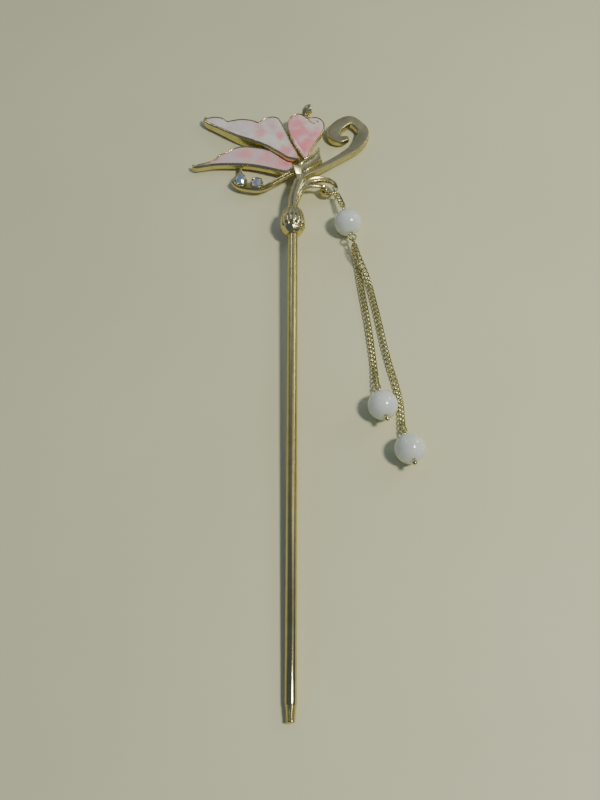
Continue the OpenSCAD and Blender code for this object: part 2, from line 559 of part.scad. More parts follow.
// Chains: a route's links, all alike, each lying flat with its sides twisted so that neighbours interlock
function lengths(path, i = 0, sum = 0) = i >= len(path) - 1 ? [sum]
    : concat([sum], lengths(path, i + 1, sum + norm(path[i + 1] - path[i])));
function place_on(path, sums, s, i = 0) = i >= len(path) - 2 || sums[i + 1] >= s
    ? path[i] + (path[i + 1] - path[i]) * (s - sums[i]) / (sums[i + 1] - sums[i])
    : place_on(path, sums, s, i + 1);
function slope_on(path, sums, s, i = 0) = i >= len(path) - 2 || sums[i + 1] >= s
    ? unit(path[i + 1] - path[i]) : slope_on(path, sums, s, i + 1);
// One link's 10 rings of 5 points, turned about the chain by roll
function link_points(at, t, roll) = let (level = side_of(t), high = cross(level, t),
    side = cos(roll) * level + sin(roll) * high, up = cos(roll) * high - sin(roll) * level)
    [for (i = [0:9]) let (a = 36 * i + 18,
        middle = at + link_half_w * cos(a) * side + link_half_len * sin(a) * t + link_twist * sin(2 * a) * up,
        along = unit(-link_half_w * sin(a) * side + link_half_len * cos(a) * t
            + 2 * link_twist * cos(2 * a) * up),
        out = unit(cross(along, up)), over = cross(out, along))
        for (k = [0:4]) middle + link_wire_d / 2 * (cos(72 * k + 90) * out + sin(72 * k + 90) * over)];
function link_faces(n) = [for (i = [0:9]) for (k = [0:4])
    let (a = 50 * n + 5 * i, b = 50 * n + 5 * ((i + 1) % 10), l = (k + 1) % 5)
        each [[a + k, a + l, b + l], [a + k, b + l, b + k]]];
module chain(points, start_roll) {
    path = smooth(points, 8);
    sums = lengths(path);
    total = sums[len(sums) - 1];
    count = round(total / link_pitch) + 1;
    spacing = total / (count - 1);
    rolls = [for (n = [0 : count - 1]) start_roll * max(0, 1 - n / roll_links)
        + loop_roll * max(0, 1 - (count - 1 - n) / roll_links)];
    polyhedron(points = [for (n = [0 : count - 1]) each link_points(place_on(path, sums, n * spacing),
            slope_on(path, sums, n * spacing), rolls[n])],
        faces = [for (n = [0 : count - 1]) each link_faces(n)], convexity = 8);
}

// How far a chain's end link lies from the middle of the wire that it hangs on
function hang(wire) = link_half_len - link_wire_d / 2 - wire / 2 - link_clear;
function from_eye(points) = [for (p = points) [eye[0] + p[0], eye[1] + p[1], p[2]]];
// A chain leaves what it hangs on straight: its end link and the next one lie along the pull
function lead(from, radius, wire, pull) = [from + (radius + hang(wire)) * pull,
    from + (radius + hang(wire) + link_pitch) * pull];
function turn_back(pair) = [pair[1], pair[0]];
function loop_lead(at, heading, dip) = lead(loop_middle(at, heading, dip), loop_r, pin_d,
    pin_dir(heading, dip));
function spread_lead(angle) = lead(spreader_at, spreader_r, jump_wire_d,
    cos(angle) * spreader_dir + sin(angle) * spreader_up);
module connector_chain() color(gold) chain([ring_at + (ring_r + hang(jump_wire_d)) * pull,
    top_loop - (loop_r + hang(pin_d)) * pull], ring_lean);
module left_chain() color(gold) chain(concat(spread_lead(-spread_half), from_eye(LEFT_ROUTE),
    turn_back(loop_lead(left_bead_at, left_heading, left_dip))), ring_roll);
module right_chain() color(gold) chain(concat(spread_lead(spread_half), from_eye(RIGHT_ROUTE),
    turn_back(loop_lead(right_bead_at, right_heading, right_dip))), ring_roll);

stick();
collar();
butterfly_frame();
forewing_enamel();
hindwing_enamel();
heart_wing_enamel();
drop_stone();
round_stone();
hook_ring();
connector_chain();
upper_bead();
eye_pin();
spreader_ring();
left_chain();
right_chain();
left_bead();
right_bead();
left_head_pin();
right_head_pin();
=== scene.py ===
"""Buyao hairpin: finishes, detailed pieces, stage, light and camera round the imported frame."""

import json
import logging
import math
from dataclasses import dataclass
from enum import Enum
from typing import Callable, Dict, List, Optional, Sequence, Tuple

import bmesh
import bpy
from mathutils import Matrix, Vector
from mathutils.geometry import delaunay_2d_cdt

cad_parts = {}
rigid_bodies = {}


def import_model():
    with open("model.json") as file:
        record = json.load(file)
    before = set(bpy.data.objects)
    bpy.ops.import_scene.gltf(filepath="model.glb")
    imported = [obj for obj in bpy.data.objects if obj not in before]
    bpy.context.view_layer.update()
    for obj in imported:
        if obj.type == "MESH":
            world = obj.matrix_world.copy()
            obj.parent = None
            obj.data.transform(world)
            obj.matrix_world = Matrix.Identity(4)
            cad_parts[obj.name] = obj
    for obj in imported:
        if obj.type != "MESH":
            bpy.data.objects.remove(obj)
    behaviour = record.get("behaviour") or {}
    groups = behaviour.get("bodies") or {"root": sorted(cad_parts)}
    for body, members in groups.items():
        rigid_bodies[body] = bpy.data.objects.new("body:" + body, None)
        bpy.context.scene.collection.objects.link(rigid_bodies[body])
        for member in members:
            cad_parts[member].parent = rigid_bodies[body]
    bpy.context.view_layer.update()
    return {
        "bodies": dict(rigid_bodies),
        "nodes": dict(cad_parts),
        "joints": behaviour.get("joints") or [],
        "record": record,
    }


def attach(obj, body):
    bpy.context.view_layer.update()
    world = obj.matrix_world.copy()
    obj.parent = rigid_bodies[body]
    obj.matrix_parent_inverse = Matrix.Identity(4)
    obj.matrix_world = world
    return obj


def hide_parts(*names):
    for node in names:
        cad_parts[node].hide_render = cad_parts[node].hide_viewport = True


LOG = logging.getLogger("hairpin")
BODY = "root"
FRAME_NODE = "butterfly_frame"
UP = Vector((0, 0, 1))

MM = 0.001
"""A millimetre in metres."""

MERGE = 1e-7
"""Points of one piece closer than this, in metres, become one."""

Point = Tuple[float, float, float]
Colour = Tuple[float, float, float]
Row = Sequence[float]
Table = Tuple[Tuple[float, ...], ...]
Face = Tuple[int, ...]
Shape = Tuple[List[Point], List[Face]]
Ring = Tuple[Vector, Vector, float]
Socket = bpy.types.NodeSocket


class Slot(Enum):
    """Material slots of the record."""

    METAL = "gold_metal"
    ENAMEL = "wing_enamel"
    STONE = "cut_stone"
    BEAD = "bead_stone"


# Finishes: ways to join nodes, the shared effect, and one class for each material.


class NodeKit:
    """Short ways to add and join shader nodes in one tree."""

    def __init__(self, tree: bpy.types.NodeTree) -> None:
        """Keeps the tree.

        Args:
            tree: the node tree to fill.
        """
        self.tree = tree

    def add(self, kind: str, **values: object) -> bpy.types.Node:
        """Adds a node.

        Args:
            kind: the node's type name.
            values: the node's properties.

        Returns:
            The new node.
        """
        node = self.tree.nodes.new(kind)
        for name, value in values.items():
            setattr(node, name, value)
        return node

    def join(self, source: Socket, target: Socket) -> None:
        """Links two sockets."""
        self.tree.links.new(source, target)

    def remap(
        self, value: Socket, low: float, high: float, to_low: float, to_high: float
    ) -> Socket:
        """Maps a value's range smoothly to another.

        Args:
            value: the socket to map.
            low: lowest input.
            high: highest input.
            to_low: result at low.
            to_high: result at high.

        Returns:
            The mapped value's socket.
        """
        node = self.add("ShaderNodeMapRange", interpolation_type="SMOOTHSTEP")
        self.join(value, node.inputs["Value"])
        for name, number in zip(
            ("From Min", "From Max", "To Min", "To Max"), (low, high, to_low, to_high)
        ):
            node.inputs[name].default_value = number
        return node.outputs["Result"]

    def mix(self, share: Socket, low: "Socket | Colour", high: "Socket | Colour") -> Socket:
        """Mixes two colours.

        Args:
            share: the mask.
            low: colour where the mask is 0.
            high: colour where the mask is 1.

        Returns:
            The mixed colour's socket.
        """
        node = self.add("ShaderNodeMix", data_type="RGBA")
        self.join(share, node.inputs[0])
        for index, colour in ((6, low), (7, high)):
            if isinstance(colour, tuple):
                node.inputs[index].default_value = (*colour, 1.0)
            else:
                self.join(colour, node.inputs[index])
        return node.outputs[2]

    def math(self, kind: str, a: Socket, b: "Socket | float") -> Socket:
        """Adds a math node of one or two values and returns its result."""
        node = self.add("ShaderNodeMath", operation=kind)
        self.join(a, node.inputs[0])
        if isinstance(b, (int, float)):
            node.inputs[1].default_value = b
        else:
            self.join(b, node.inputs[1])
        return node.outputs[0]


class Effects:
    """Shader node groups that several finishes share."""

    octaves = 4.0
    _made: Dict[str, bpy.types.NodeTree] = {}

    @classmethod
    def mottle(cls) -> bpy.types.NodeTree:
        """Cloudy mask at one scale, with a sharper or softer edge.

        Returns:
            A group with inputs Vector, Scale, Low and High and outputs Mask and Height.
        """
        if "Mottle" in cls._made:
            return cls._made["Mottle"]
        tree = bpy.data.node_groups.new("Mottle", "ShaderNodeTree")
        face = tree.interface
        face.new_socket("Vector", in_out="INPUT", socket_type="NodeSocketVector")
        for name in ("Scale", "Low", "High"):
            face.new_socket(name, in_out="INPUT", socket_type="NodeSocketFloat")
        for name in ("Mask", "Height"):
            face.new_socket(name, in_out="OUTPUT", socket_type="NodeSocketFloat")
        kit = NodeKit(tree)
        inside, outside = kit.add("NodeGroupInput"), kit.add("NodeGroupOutput")
        noise = kit.add("ShaderNodeTexNoise")
        noise.inputs["Detail"].default_value = cls.octaves
        kit.join(inside.outputs["Vector"], noise.inputs["Vector"])
        kit.join(inside.outputs["Scale"], noise.inputs["Scale"])
        ramp = kit.add("ShaderNodeMapRange", interpolation_type="SMOOTHSTEP")
        kit.join(noise.outputs["Fac"], ramp.inputs["Value"])
        kit.join(inside.outputs["Low"], ramp.inputs["From Min"])
        kit.join(inside.outputs["High"], ramp.inputs["From Max"])
        kit.join(ramp.outputs["Result"], outside.inputs["Mask"])
        kit.join(noise.outputs["Fac"], outside.inputs["Height"])
        cls._made["Mottle"] = tree
        return tree


@dataclass(frozen=True)
class Clouds:
    """A cloudy mask: features a metre, and the noise values where it starts and is full."""

    scale: float
    low: float
    high: float


class Finish:
    """A material whose look is built from nodes."""

    name = "finish"

    def material(self) -> bpy.types.Material:
        """Makes the material once and returns it.

        Returns:
            The material of this finish.
        """
        found = bpy.data.materials.get(self.name)
        if found:
            return found
        made = bpy.data.materials.new(self.name)
        made.use_nodes = True
        kit = NodeKit(made.node_tree)
        shader = made.node_tree.nodes["Principled BSDF"]
        coords = kit.add("ShaderNodeTexCoord").outputs["Object"]
        self.fill(kit, shader, coords)
        return made

    def fill(self, kit: NodeKit, shader: bpy.types.Node, coords: Socket) -> None:
        """Joins this finish's nodes to the shader.

        Args:
            kit: adds and joins nodes.
            shader: the material's shader.
            coords: object coordinates.
        """
        raise NotImplementedError

    @staticmethod
    def mottle(kit: NodeKit, coords: Socket, clouds: Clouds) -> bpy.types.Node:
        """Places the shared mottle effect.

        Args:
            kit: adds and joins nodes.
            coords: object coordinates.
            clouds: size and edge of the mask.

        Returns:
            The group node, with outputs Mask and Height.
        """
        group = kit.add("ShaderNodeGroup", node_tree=Effects.mottle())
        kit.join(coords, group.inputs["Vector"])
        for name, value in (("Scale", clouds.scale), ("Low", clouds.low), ("High", clouds.high)):
            group.inputs[name].default_value = value
        return group

    @staticmethod
    def bump(
        kit: NodeKit, height: Socket, shader: bpy.types.Node, distance: float, strength: float
    ) -> None:
        """Adds a bump from a height to the shader's normal."""
        node = kit.add("ShaderNodeBump")
        node.inputs["Distance"].default_value = distance
        node.inputs["Strength"].default_value = strength
        kit.join(height, node.inputs["Height"])
        kit.join(node.outputs["Normal"], shader.inputs["Normal"])


@dataclass(frozen=True)
class PlatedMetal(Finish):
    """Pale champagne plating over a cast metal."""

    name: str = "champagne_plating"
    bright: Colour = (0.72, 0.63, 0.28)
    dull: Colour = (0.62, 0.54, 0.225)
    clouds: Clouds = Clouds(420.0, 0.35, 0.68)
    grain: Clouds = Clouds(1500.0, 0.3, 0.7)
    gloss: float = 0.17
    worn: float = 0.30
    worn_at: float = 0.7
    depth: float = 0.00003
    relief: float = 0.25

    def fill(self, kit: NodeKit, shader: bpy.types.Node, coords: Socket) -> None:
        """Cloudy plating, uneven gloss and a soft cast surface."""
        clouds = self.mottle(kit, coords, self.clouds)
        grain = self.mottle(kit, coords, self.grain)
        masks = (clouds.outputs["Mask"], grain.outputs["Mask"])
        kit.join(kit.mix(masks[0], self.bright, self.dull), shader.inputs["Base Color"])
        kit.join(self.roughness(kit, coords, masks), shader.inputs["Roughness"])
        shader.inputs["Metallic"].default_value = 1.0
        self.bump(kit, grain.outputs["Height"], shader, self.depth, self.relief)

    def roughness(self, kit: NodeKit, coords: Socket, masks: Tuple[Socket, Socket]) -> Socket:
        """How rough the plating is: most where both masks are full.

        Args:
            kit: adds and joins nodes.
            coords: object coordinates.
            masks: the clouds' and the grain's mask.

        Returns:
            The roughness.
        """
        both = kit.math("MULTIPLY", *masks)
        return kit.remap(both, 0.0, self.worn_at, self.gloss, self.worn)


@dataclass(frozen=True)
class SatinMetal(PlatedMetal):
    """The same plating over the satin faces of the casting."""

    name: str = "satin_plating"
    bright: Colour = (0.64, 0.57, 0.27)
    dull: Colour = (0.54, 0.475, 0.215)
    gloss: float = 0.30
    worn: float = 0.40


@dataclass(frozen=True)
class DrawnMetal(PlatedMetal):
    """What the plating over smooth rod and wire has in common: a finer, flatter grain."""

    grain: Clouds = Clouds(900.0, 0.3, 0.7)
    depth: float = 0.00001


@dataclass(frozen=True)
class RodMetal(DrawnMetal):
    """The plating of the rod: polished near the tip, rubbed matt where fingers and hair hold it."""

    name: str = "plating_on_rod"
    bright: Colour = (0.62, 0.53, 0.20)
    dull: Colour = (0.54, 0.46, 0.155)
    polished: float = 0.07
    rubbed: float = 0.27
    rub_from: float = -0.068
    rub_to: float = -0.036

    def roughness(self, kit: NodeKit, coords: Socket, masks: Tuple[Socket, Socket]) -> Socket:
        """How rough the rod is: it rises along the rod, whatever the masks say."""
        along = kit.add("ShaderNodeSeparateXYZ")
        kit.join(coords, along.inputs[0])
        return kit.remap(
            along.outputs["Y"], self.rub_from, self.rub_to, self.polished, self.rubbed
        )


@dataclass(frozen=True)
class ChainMetal(DrawnMetal):
    """Brighter plating over the chains, their rings and the pins."""

    name: str = "plating_on_chain"
    bright: Colour = (0.76, 0.71, 0.36)
    dull: Colour = (0.58, 0.53, 0.24)
    gloss: float = 0.06
    worn: float = 0.14


@dataclass(frozen=True)
class MilkyEnamel(Finish):
    """Glossy cold enamel, milky with brushed pink patches.

    A patch is its place in millimetres, its radius and its strength. It is full up to full_at
    radii from its place and gone at gone_at, and the strokes' mask pulls that edge about.
    """

    name: str = "milky_enamel"
    milk: Colour = (0.88, 0.83, 0.66)
    lilac: Colour = (0.80, 0.68, 0.57)
    pink: Colour = (1.0, 0.32, 0.31)
    patches: Table = ()
    clouds: Clouds = Clouds(260.0, 0.38, 0.62)
    strokes: Clouds = Clouds(400.0, 0.28, 0.72)
    ragged: float = 0.85
    full_at: float = 0.6
    gone_at: float = 1.9
    roughness: float = 0.22
    coat: float = 0.6
    coat_roughness: float = 0.06
    depth: float = 0.0002
    relief: float = 0.3

    def fill(self, kit: NodeKit, shader: bpy.types.Node, coords: Socket) -> None:
        """Lilac clouds in the milk and pink patches with ragged edges."""
        clouds = self.mottle(kit, coords, self.clouds)
        strokes = self.mottle(kit, coords, self.strokes)
        base = kit.mix(clouds.outputs["Mask"], self.milk, self.lilac)
        flat = kit.add("ShaderNodeVectorMath", operation="MULTIPLY")
        kit.join(coords, flat.inputs[0])
        flat.inputs[1].default_value = (1.0, 1.0, 0.0)
        edge = kit.math("MULTIPLY", strokes.outputs["Mask"], self.ragged)
        blush = None
        for x, y, radius, strength in self.patches:
            far = kit.add("ShaderNodeVectorMath", operation="DISTANCE")
            kit.join(flat.outputs["Vector"], far.inputs[0])
            far.inputs[1].default_value = (x * MM, y * MM, 0.0)
            share = kit.math("DIVIDE", far.outputs["Value"], radius * MM)
            spot = kit.remap(
                kit.math("ADD", share, edge), self.full_at, self.gone_at, strength, 0.0
            )
            blush = spot if blush is None else kit.math("MAXIMUM", blush, spot)
        kit.join(kit.mix(blush, base, self.pink), shader.inputs["Base Color"])
        shader.inputs["Roughness"].default_value = self.roughness
        shader.inputs["Coat Weight"].default_value = self.coat
        shader.inputs["Coat Roughness"].default_value = self.coat_roughness
        self.bump(kit, clouds.outputs["Height"], shader, self.depth, self.relief)


@dataclass(frozen=True)
class JadeStone(Finish):
    """Milky pale stone, polished, with faint clouds."""

    name: str = "milky_jade"
    pale: Colour = (0.75, 0.79, 0.65)
    cloud: Colour = (0.67, 0.71, 0.59)
    clouds: Clouds = Clouds(190.0, 0.36, 0.66)
    roughness: float = 0.16
    shine: float = 0.9
    milk: float = 0.6
    milk_depth: float = 0.004

    def fill(self, kit: NodeKit, shader: bpy.types.Node, coords: Socket) -> None:
        """Soft clouds under a clear polish."""
        mask = self.mottle(kit, coords, self.clouds).outputs["Mask"]
        kit.join(kit.mix(mask, self.pale, self.cloud), shader.inputs["Base Color"])
        shader.inputs["Roughness"].default_value = self.roughness
        shader.inputs["Specular IOR Level"].default_value = self.shine
        shader.inputs["Subsurface Weight"].default_value = self.milk
        shader.inputs["Subsurface Radius"].default_value = (1.0, 1.0, 1.0)
        shader.inputs["Subsurface Scale"].default_value = self.milk_depth


@dataclass(frozen=True)
class CoatedCrystal(Finish):
    """Foil-backed cut glass with a rainbow coating."""

    name: str = "coated_crystal"
    blue: Colour = (0.38, 0.56, 0.64)
    green: Colour = (0.34, 0.66, 0.54)
    rose: Colour = (0.88, 0.78, 0.76)
    fine: Clouds = Clouds(900.0, 0.42, 0.58)
    broad: Clouds = Clouds(640.0, 0.45, 0.55)
    foil: float = 0.7
    roughness: float = 0.06
    coat_roughness: float = 0.02

    def fill(self, kit: NodeKit, shader: bpy.types.Node, coords: Socket) -> None:
        """Patches of blue, green and rose over a bright silver foil."""
        fine = self.mottle(kit, coords, self.fine).outputs["Mask"]
        broad = self.mottle(kit, coords, self.broad).outputs["Mask"]
        cold = kit.mix(fine, self.blue, self.green)
        kit.join(kit.mix(broad, cold, self.rose), shader.inputs["Base Color"])
        shader.inputs["Metallic"].default_value = self.foil
        shader.inputs["Roughness"].default_value = self.roughness
        shader.inputs["Coat Weight"].default_value = 1.0
        shader.inputs["Coat Roughness"].default_value = self.coat_roughness


@dataclass(frozen=True)
class PaleFloor(Finish):
    """Plain pale surface with a very soft mottle."""

    name: str = "pale_floor"
    light: Colour = (0.745, 0.735, 0.418)
    dark: Colour = (0.71, 0.70, 0.393)
    clouds: Clouds = Clouds(14.0, 0.3, 0.7)
    roughness: float = 0.6

    def fill(self, kit: NodeKit, shader: bpy.types.Node, coords: Socket) -> None:
        """Two near tones in large soft clouds."""
        mask = self.mottle(kit, coords, self.clouds).outputs["Mask"]
        kit.join(kit.mix(mask, self.light, self.dark), shader.inputs["Base Color"])
        shader.inputs["Roughness"].default_value = self.roughness


# Shapes and steps that several pieces share. Lengths are in millimetres up to place().


def blend(a: Row, b: Row, c: Row, d: Row, t: float) -> List[float]:
    """Smooth row at share t between b and c, with a before and d after.

    Args:
        a: row before b.
        b: first row.
        c: second row.
        d: row after c.
        t: share of the way from b to c.

    Returns:
        The row at that share.
    """
    return [
        0.5
        * (
            2 * q
            + (r - p) * t
            + (2 * p - 5 * q + 4 * r - s) * t * t
            + (3 * q - 3 * r + s - p) * t**3
        )
        for p, q, r, s in zip(a, b, c, d)
    ]


def smooth(rows: Sequence[Row], steps: int) -> List[List[float]]:
    """Rows with steps - 1 new ones between each two.

    Args:
        rows: the rows to pass through.
        steps: how many parts each stretch is cut into.

    Returns:
        The denser rows.
    """
    last = len(rows) - 1
    made = []
    for i in range(last):
        for s in range(steps):
            made.append(
                blend(rows[max(0, i - 1)], rows[i], rows[i + 1], rows[min(last, i + 2)], s / steps)
            )
    made.append(list(rows[last]))
    return made


def closed(rows: Sequence[Row], steps: int) -> List[List[float]]:
    """A closed outline, smooth except at rows whose third value is 1.

    Args:
        rows: rows of two values and a mark for a sharp corner.
        steps: how many parts each stretch is cut into.

    Returns:
        The outline's points.
    """
    count = len(rows)
    made = []
    for i in range(count):
        j = (i + 1) % count
        before = rows[i] if rows[i][2] == 1 else rows[i - 1]
        after = rows[j] if rows[j][2] == 1 else rows[(j + 1) % count]
        for s in range(steps):
            made.append(blend(before, rows[i], rows[j], after, s / steps)[:2])
    return made


def new_object(name: str, data: bpy.types.ID) -> bpy.types.Object:
    """Makes an object with the data and links it to the scene."""
    made = bpy.data.objects.new(name, data)
    bpy.context.scene.collection.objects.link(made)
    return made


def place(name: str, points: Sequence[Point], faces: Sequence[Face]) -> bpy.types.Object:
    """Makes an object from points in millimetres.

    Args:
        name: the object's name.
        points: points in millimetres in the row frame.
        faces: point indices of each face.

    Returns:
        The object, at the origin.
    """
    mesh = bpy.data.meshes.new(name)
    mesh.from_pydata([tuple(c * MM for c in p) for p in points], [], faces)
    made = bmesh.new()
    made.from_mesh(mesh)
    bmesh.ops.remove_doubles(made, verts=made.verts, dist=MERGE)
    bmesh.ops.recalc_face_normals(made, faces=made.faces)
    made.to_mesh(mesh)
    made.free()
    mesh.validate()
    return new_object(name, mesh)


def shade(piece: bpy.types.Object, angle: float) -> None:
    """Smooths the piece's shading except at edges sharper than angle degrees."""
    piece.data.polygons.foreach_set("use_smooth", [True] * len(piece.data.polygons))
    piece.data.set_sharp_from_angle(angle=math.radians(angle))


def ring_faces(rings: int, around: int) -> List[Face]:
    """Faces between stacked closed rings, and one over each end.

    Args:
        rings: how many rings.
        around: points in a ring.

    Returns:
        The faces.
    """
    faces: List[Face] = []
    for i in range(rings - 1):
        a, b = i * around, (i + 1) * around
        for j in range(around):
            k = (j + 1) % around
            faces.append((a + j, a + k, b + k, b + j))
    faces.append(tuple(range(around)))
    faces.append(tuple(range((rings - 1) * around, rings * around)))
    return faces


def turned_rings(profile: Table, around: int, swell: Optional[Callable] = None) -> Shape:
    """A lathe shape along +Y.

    Args:
        profile: radius and place along Y of each ring.
        around: points in a ring.
        swell: gives a factor for the radius from the ring's share and the angle.

    Returns:
        Points and faces.
    """
    points = []
    last = len(profile) - 1
    for i, (radius, along) in enumerate(profile):
        for j in range(around):
            a = 2 * math.pi * j / around
            r = radius * (swell(i / last, a) if swell else 1.0)
            points.append((r * math.cos(a), along, r * math.sin(a)))
    return points, ring_faces(len(profile), around)


def slopes_along(mids: Sequence[Vector]) -> List[Vector]:
    """Direction of a path at each of its points."""
    last = len(mids) - 1
    return [(mids[min(last, i + 1)] - mids[max(0, i - 1)]).normalized() for i in range(last + 1)]


def level_slopes(rows: Sequence[Row]) -> List[Vector]:
    """Direction of a path at each of its rows, seen from above."""
    last = len(rows) - 1
    made = []
    for i in range(last + 1):
        a, b = rows[max(0, i - 1)], rows[min(last, i + 1)]
        made.append(Vector((b[0] - a[0], b[1] - a[1], 0)).normalized())
    return made


def dome(mid: Vector, slope: Vector, radius: float, shares: Sequence[float]) -> List[Ring]:
    """Rings that round off the end of a wire.

    Args:
        mid: middle of the wire's last ring.
        slope: direction of the wire there.
        radius: the wire's radius.
        shares: place of each ring in radii along the slope, below 0 for the wire's start.

    Returns:
        The rings.
    """
    return [(mid + slope * radius * q, slope, radius * math.sqrt(1 - q * q)) for q in shares]


def round_rings(rings: Sequence[Ring], around: int, up: Vector) -> Shape:
    """Round tube through rings, without a twist.

    Args:
        rings: middle, direction and radius of each ring.
        around: points in a ring.
        up: a direction that the tube's start doesn't follow.

    Returns:
        Points and faces.
    """
    points = []
    side = rings[0][1].cross(up).normalized()
    for mid, slope, radius in rings:
        side = (side - slope * side.dot(slope)).normalized()
        over = slope.cross(side)
        for j in range(around):
            a = 2 * math.pi * j / around
            points.append(tuple(mid + radius * (math.cos(a) * side + math.sin(a) * over)))
    return points, ring_faces(len(rings), around)


WIRE_DOME = (0.35, 0.7, 0.92)
"""Places of the rings that round off a wire's end, in radii past it."""


def wire(path: Sequence[Row], radius: float, around: int, up: Row = UP) -> Shape:
    """Round wire along a path, with domed ends.

    Args:
        path: points of the wire's middle.
        radius: the wire's radius.
        around: points round the wire.
        up: a direction that the path's start doesn't follow.

    Returns:
        Points and faces.
    """
    mids = [Vector(p) for p in path]
    slopes = slopes_along(mids)
    rings = dome(mids[0], slopes[0], radius, [-q for q in reversed(WIRE_DOME)])
    rings += [(m, t, radius) for m, t in zip(mids, slopes)]
    rings += dome(mids[-1], slopes[-1], radius, WIRE_DOME)
    return round_rings(rings, around, Vector(up))


def joined(parts: Sequence[Shape]) -> Shape:
    """Several shapes as one.

    Args:
        parts: points and faces of each shape.

    Returns:
        Points and faces of all.
    """
    points: List[Point] = []
    faces: List[Face] = []
    for ps, fs in parts:
        start = len(points)
        points += [tuple(p) for p in ps]
        faces += [tuple(start + i for i in f) for f in fs]
    return points, faces


def moved(matrix: Matrix, shape: Shape) -> Shape:
    """The shape with its points moved by the matrix."""
    return [tuple(matrix @ Vector(p)) for p in shape[0]], shape[1]


POLE_GAP = 0.15
"""How far a ball's first ring is from its pole, in steps between rings."""


def ball(at: Row, radius: float, around: int) -> Shape:
    """A round ball of rings.

    Args:
        at: its middle.
        radius: its radius.
        around: points round it.

    Returns:
        Points and faces.
    """
    rings = around // 2
    angles = [math.pi * (i + POLE_GAP) / (rings + 2 * POLE_GAP) for i in range(rings + 1)]
    profile = [(radius * math.sin(a), -radius * math.cos(a)) for a in angles]
    return moved(Matrix.Translation(Vector(at)), turned_rings(profile, around))


def finish_piece(
    piece: bpy.types.Object, nodes: Sequence[str], finish: Finish, angle: float
) -> None:
    """Dresses a piece and ties it to the frame.

    Args:
        piece: the object.
        nodes: CAD nodes it stands for.
        finish: the finish it gets.
        angle: edges sharper than this stay sharp.
    """
    shade(piece, angle)
    piece.data.materials.clear()
    piece.data.materials.append(finish.material())
    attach(piece, BODY)
    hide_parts(*nodes)
    LOG.info("%s: %d faces", piece.name, len(piece.data.polygons))


def build_piece(
    name: str, shape: Shape, node: str, finish: Finish, angle: float
) -> None:
    """Makes a piece of its shape and finishes it.

    Args:
        name: the piece's name.
        shape: points and faces, in millimetres.
        node: the CAD node it stands for.
        finish: the finish it gets.
        angle: edges sharper than this stay sharp.
    """
    finish_piece(place(name, *shape), [node], finish, angle)


# The plan of the hairpin.


@dataclass(frozen=True)
class Plan:
    """Places and sizes that several pieces share, in millimetres."""

    stick_x: float = -1.4
    stick_d: float = 2.8
    stick_len: float = 131.9
    collar_len: float = 8.4
    collar_d: float = 7.4
    head_len: float = 39.9
    tip_len: float = 4.2
    tip_end_d: float = 2.1
    collar_lift: float = 4.6

    @property
    def tip_y(self) -> float:
        """Where the stick's blunt tip is."""
        return -(self.stick_len + self.collar_len + self.head_len) / 2

    @property
    def tilt(self) -> float:
        """Slope of the stick's axis, in radians."""
        return math.asin((self.collar_lift - self.stick_d / 2) / (self.stick_len - self.tip_len))

    @property
    def start_z(self) -> float:
        """Height of the axis at the tip."""
        return self.stick_d / 2 * math.cos(self.tilt) - self.tip_len * math.sin(self.tilt)

    @property
    def top_y(self) -> float:
        """Where the collar ends."""
        return self.tip_y + self.stick_len * math.cos(self.tilt) + self.collar_len

    @property
    def top_z(self) -> float:
        """Height of the axis at the collar's end."""
        return self.start_z + (self.stick_len + self.collar_len) * math.sin(self.tilt)

    def along_stick(self) -> Matrix:
        """Places what is drawn along +Y from the tip."""
        return Matrix.Translation((self.stick_x, self.tip_y, self.start_z)) @ Matrix.Rotation(
            self.tilt, 4, "X"
        )

    def on_head(self, x: float, y: float, z: float) -> Vector:
        """A place in the row frame from its place by the end of the stick's collar."""
        return Vector((self.stick_x + x, self.top_y + y, z))


PLAN = Plan()
"""The one plan that all pieces follow."""


# Stick and collar.


@dataclass
class Stick:
    """Round rod with a tapered tip that has turned rings.

    The nose is share of the end's radius and place, the groove is share of a ring's pitch and
    of ring_cut, and ringed_from and ringed are shares of the taper's length.
    """

    around: int = 48
    rings: int = 6
    ring_cut: float = 0.16
    ringed_from: float = 0.12
    ringed: float = 0.8
    groove: Table = (
        (0.12, 0.0), (0.3, 0.55), (0.42, 0.95), (0.5, 1.0), (0.58, 0.95), (0.7, 0.55), (0.88, 0.0),
    )
    nose: Table = ((0.55, 0.02), (0.86, 0.10), (1.00, 0.28))
    pole: float = 0.02
    edge: float = 0.12
    edge_cut: float = 0.02
    spans: int = 40
    in_collar: float = 0.9

    def taper(self, y: float) -> float:
        """Radius of the taper at a place along it."""
        return (PLAN.tip_end_d + (PLAN.stick_d - PLAN.tip_end_d) * y / PLAN.tip_len) / 2

    def profile(self) -> List[Tuple[float, float]]:
        """Radius and place of each ring of the rod.

        Returns:
            The profile from the tip to the collar.
        """
        r, full = PLAN.tip_end_d / 2, PLAN.stick_d / 2
        made = [(self.pole, 0.0)] + [(r * share, y) for share, y in self.nose]
        start, pitch = PLAN.tip_len * self.ringed_from, PLAN.tip_len * self.ringed / self.rings
        for i in range(self.rings):
            for share, cut in self.groove:
                y = start + (i + share) * pitch
                made.append((self.taper(y) - cut * self.ring_cut, y))
        made.append((full - self.edge_cut, PLAN.tip_len - self.edge))
        made.append((full, PLAN.tip_len + self.edge))
        end = PLAN.stick_len + self.in_collar
        for i in range(1, self.spans + 1):
            made.append((full, PLAN.tip_len + (end - PLAN.tip_len) * i / self.spans))
        made.append((self.pole, end))
        return made

    def build(self) -> None:
        """Builds the rod."""
        shape = moved(PLAN.along_stick(), turned_rings(self.profile(), self.around))
        build_piece("hair_stick", shape, "stick", RodMetal(), angle=50.0)


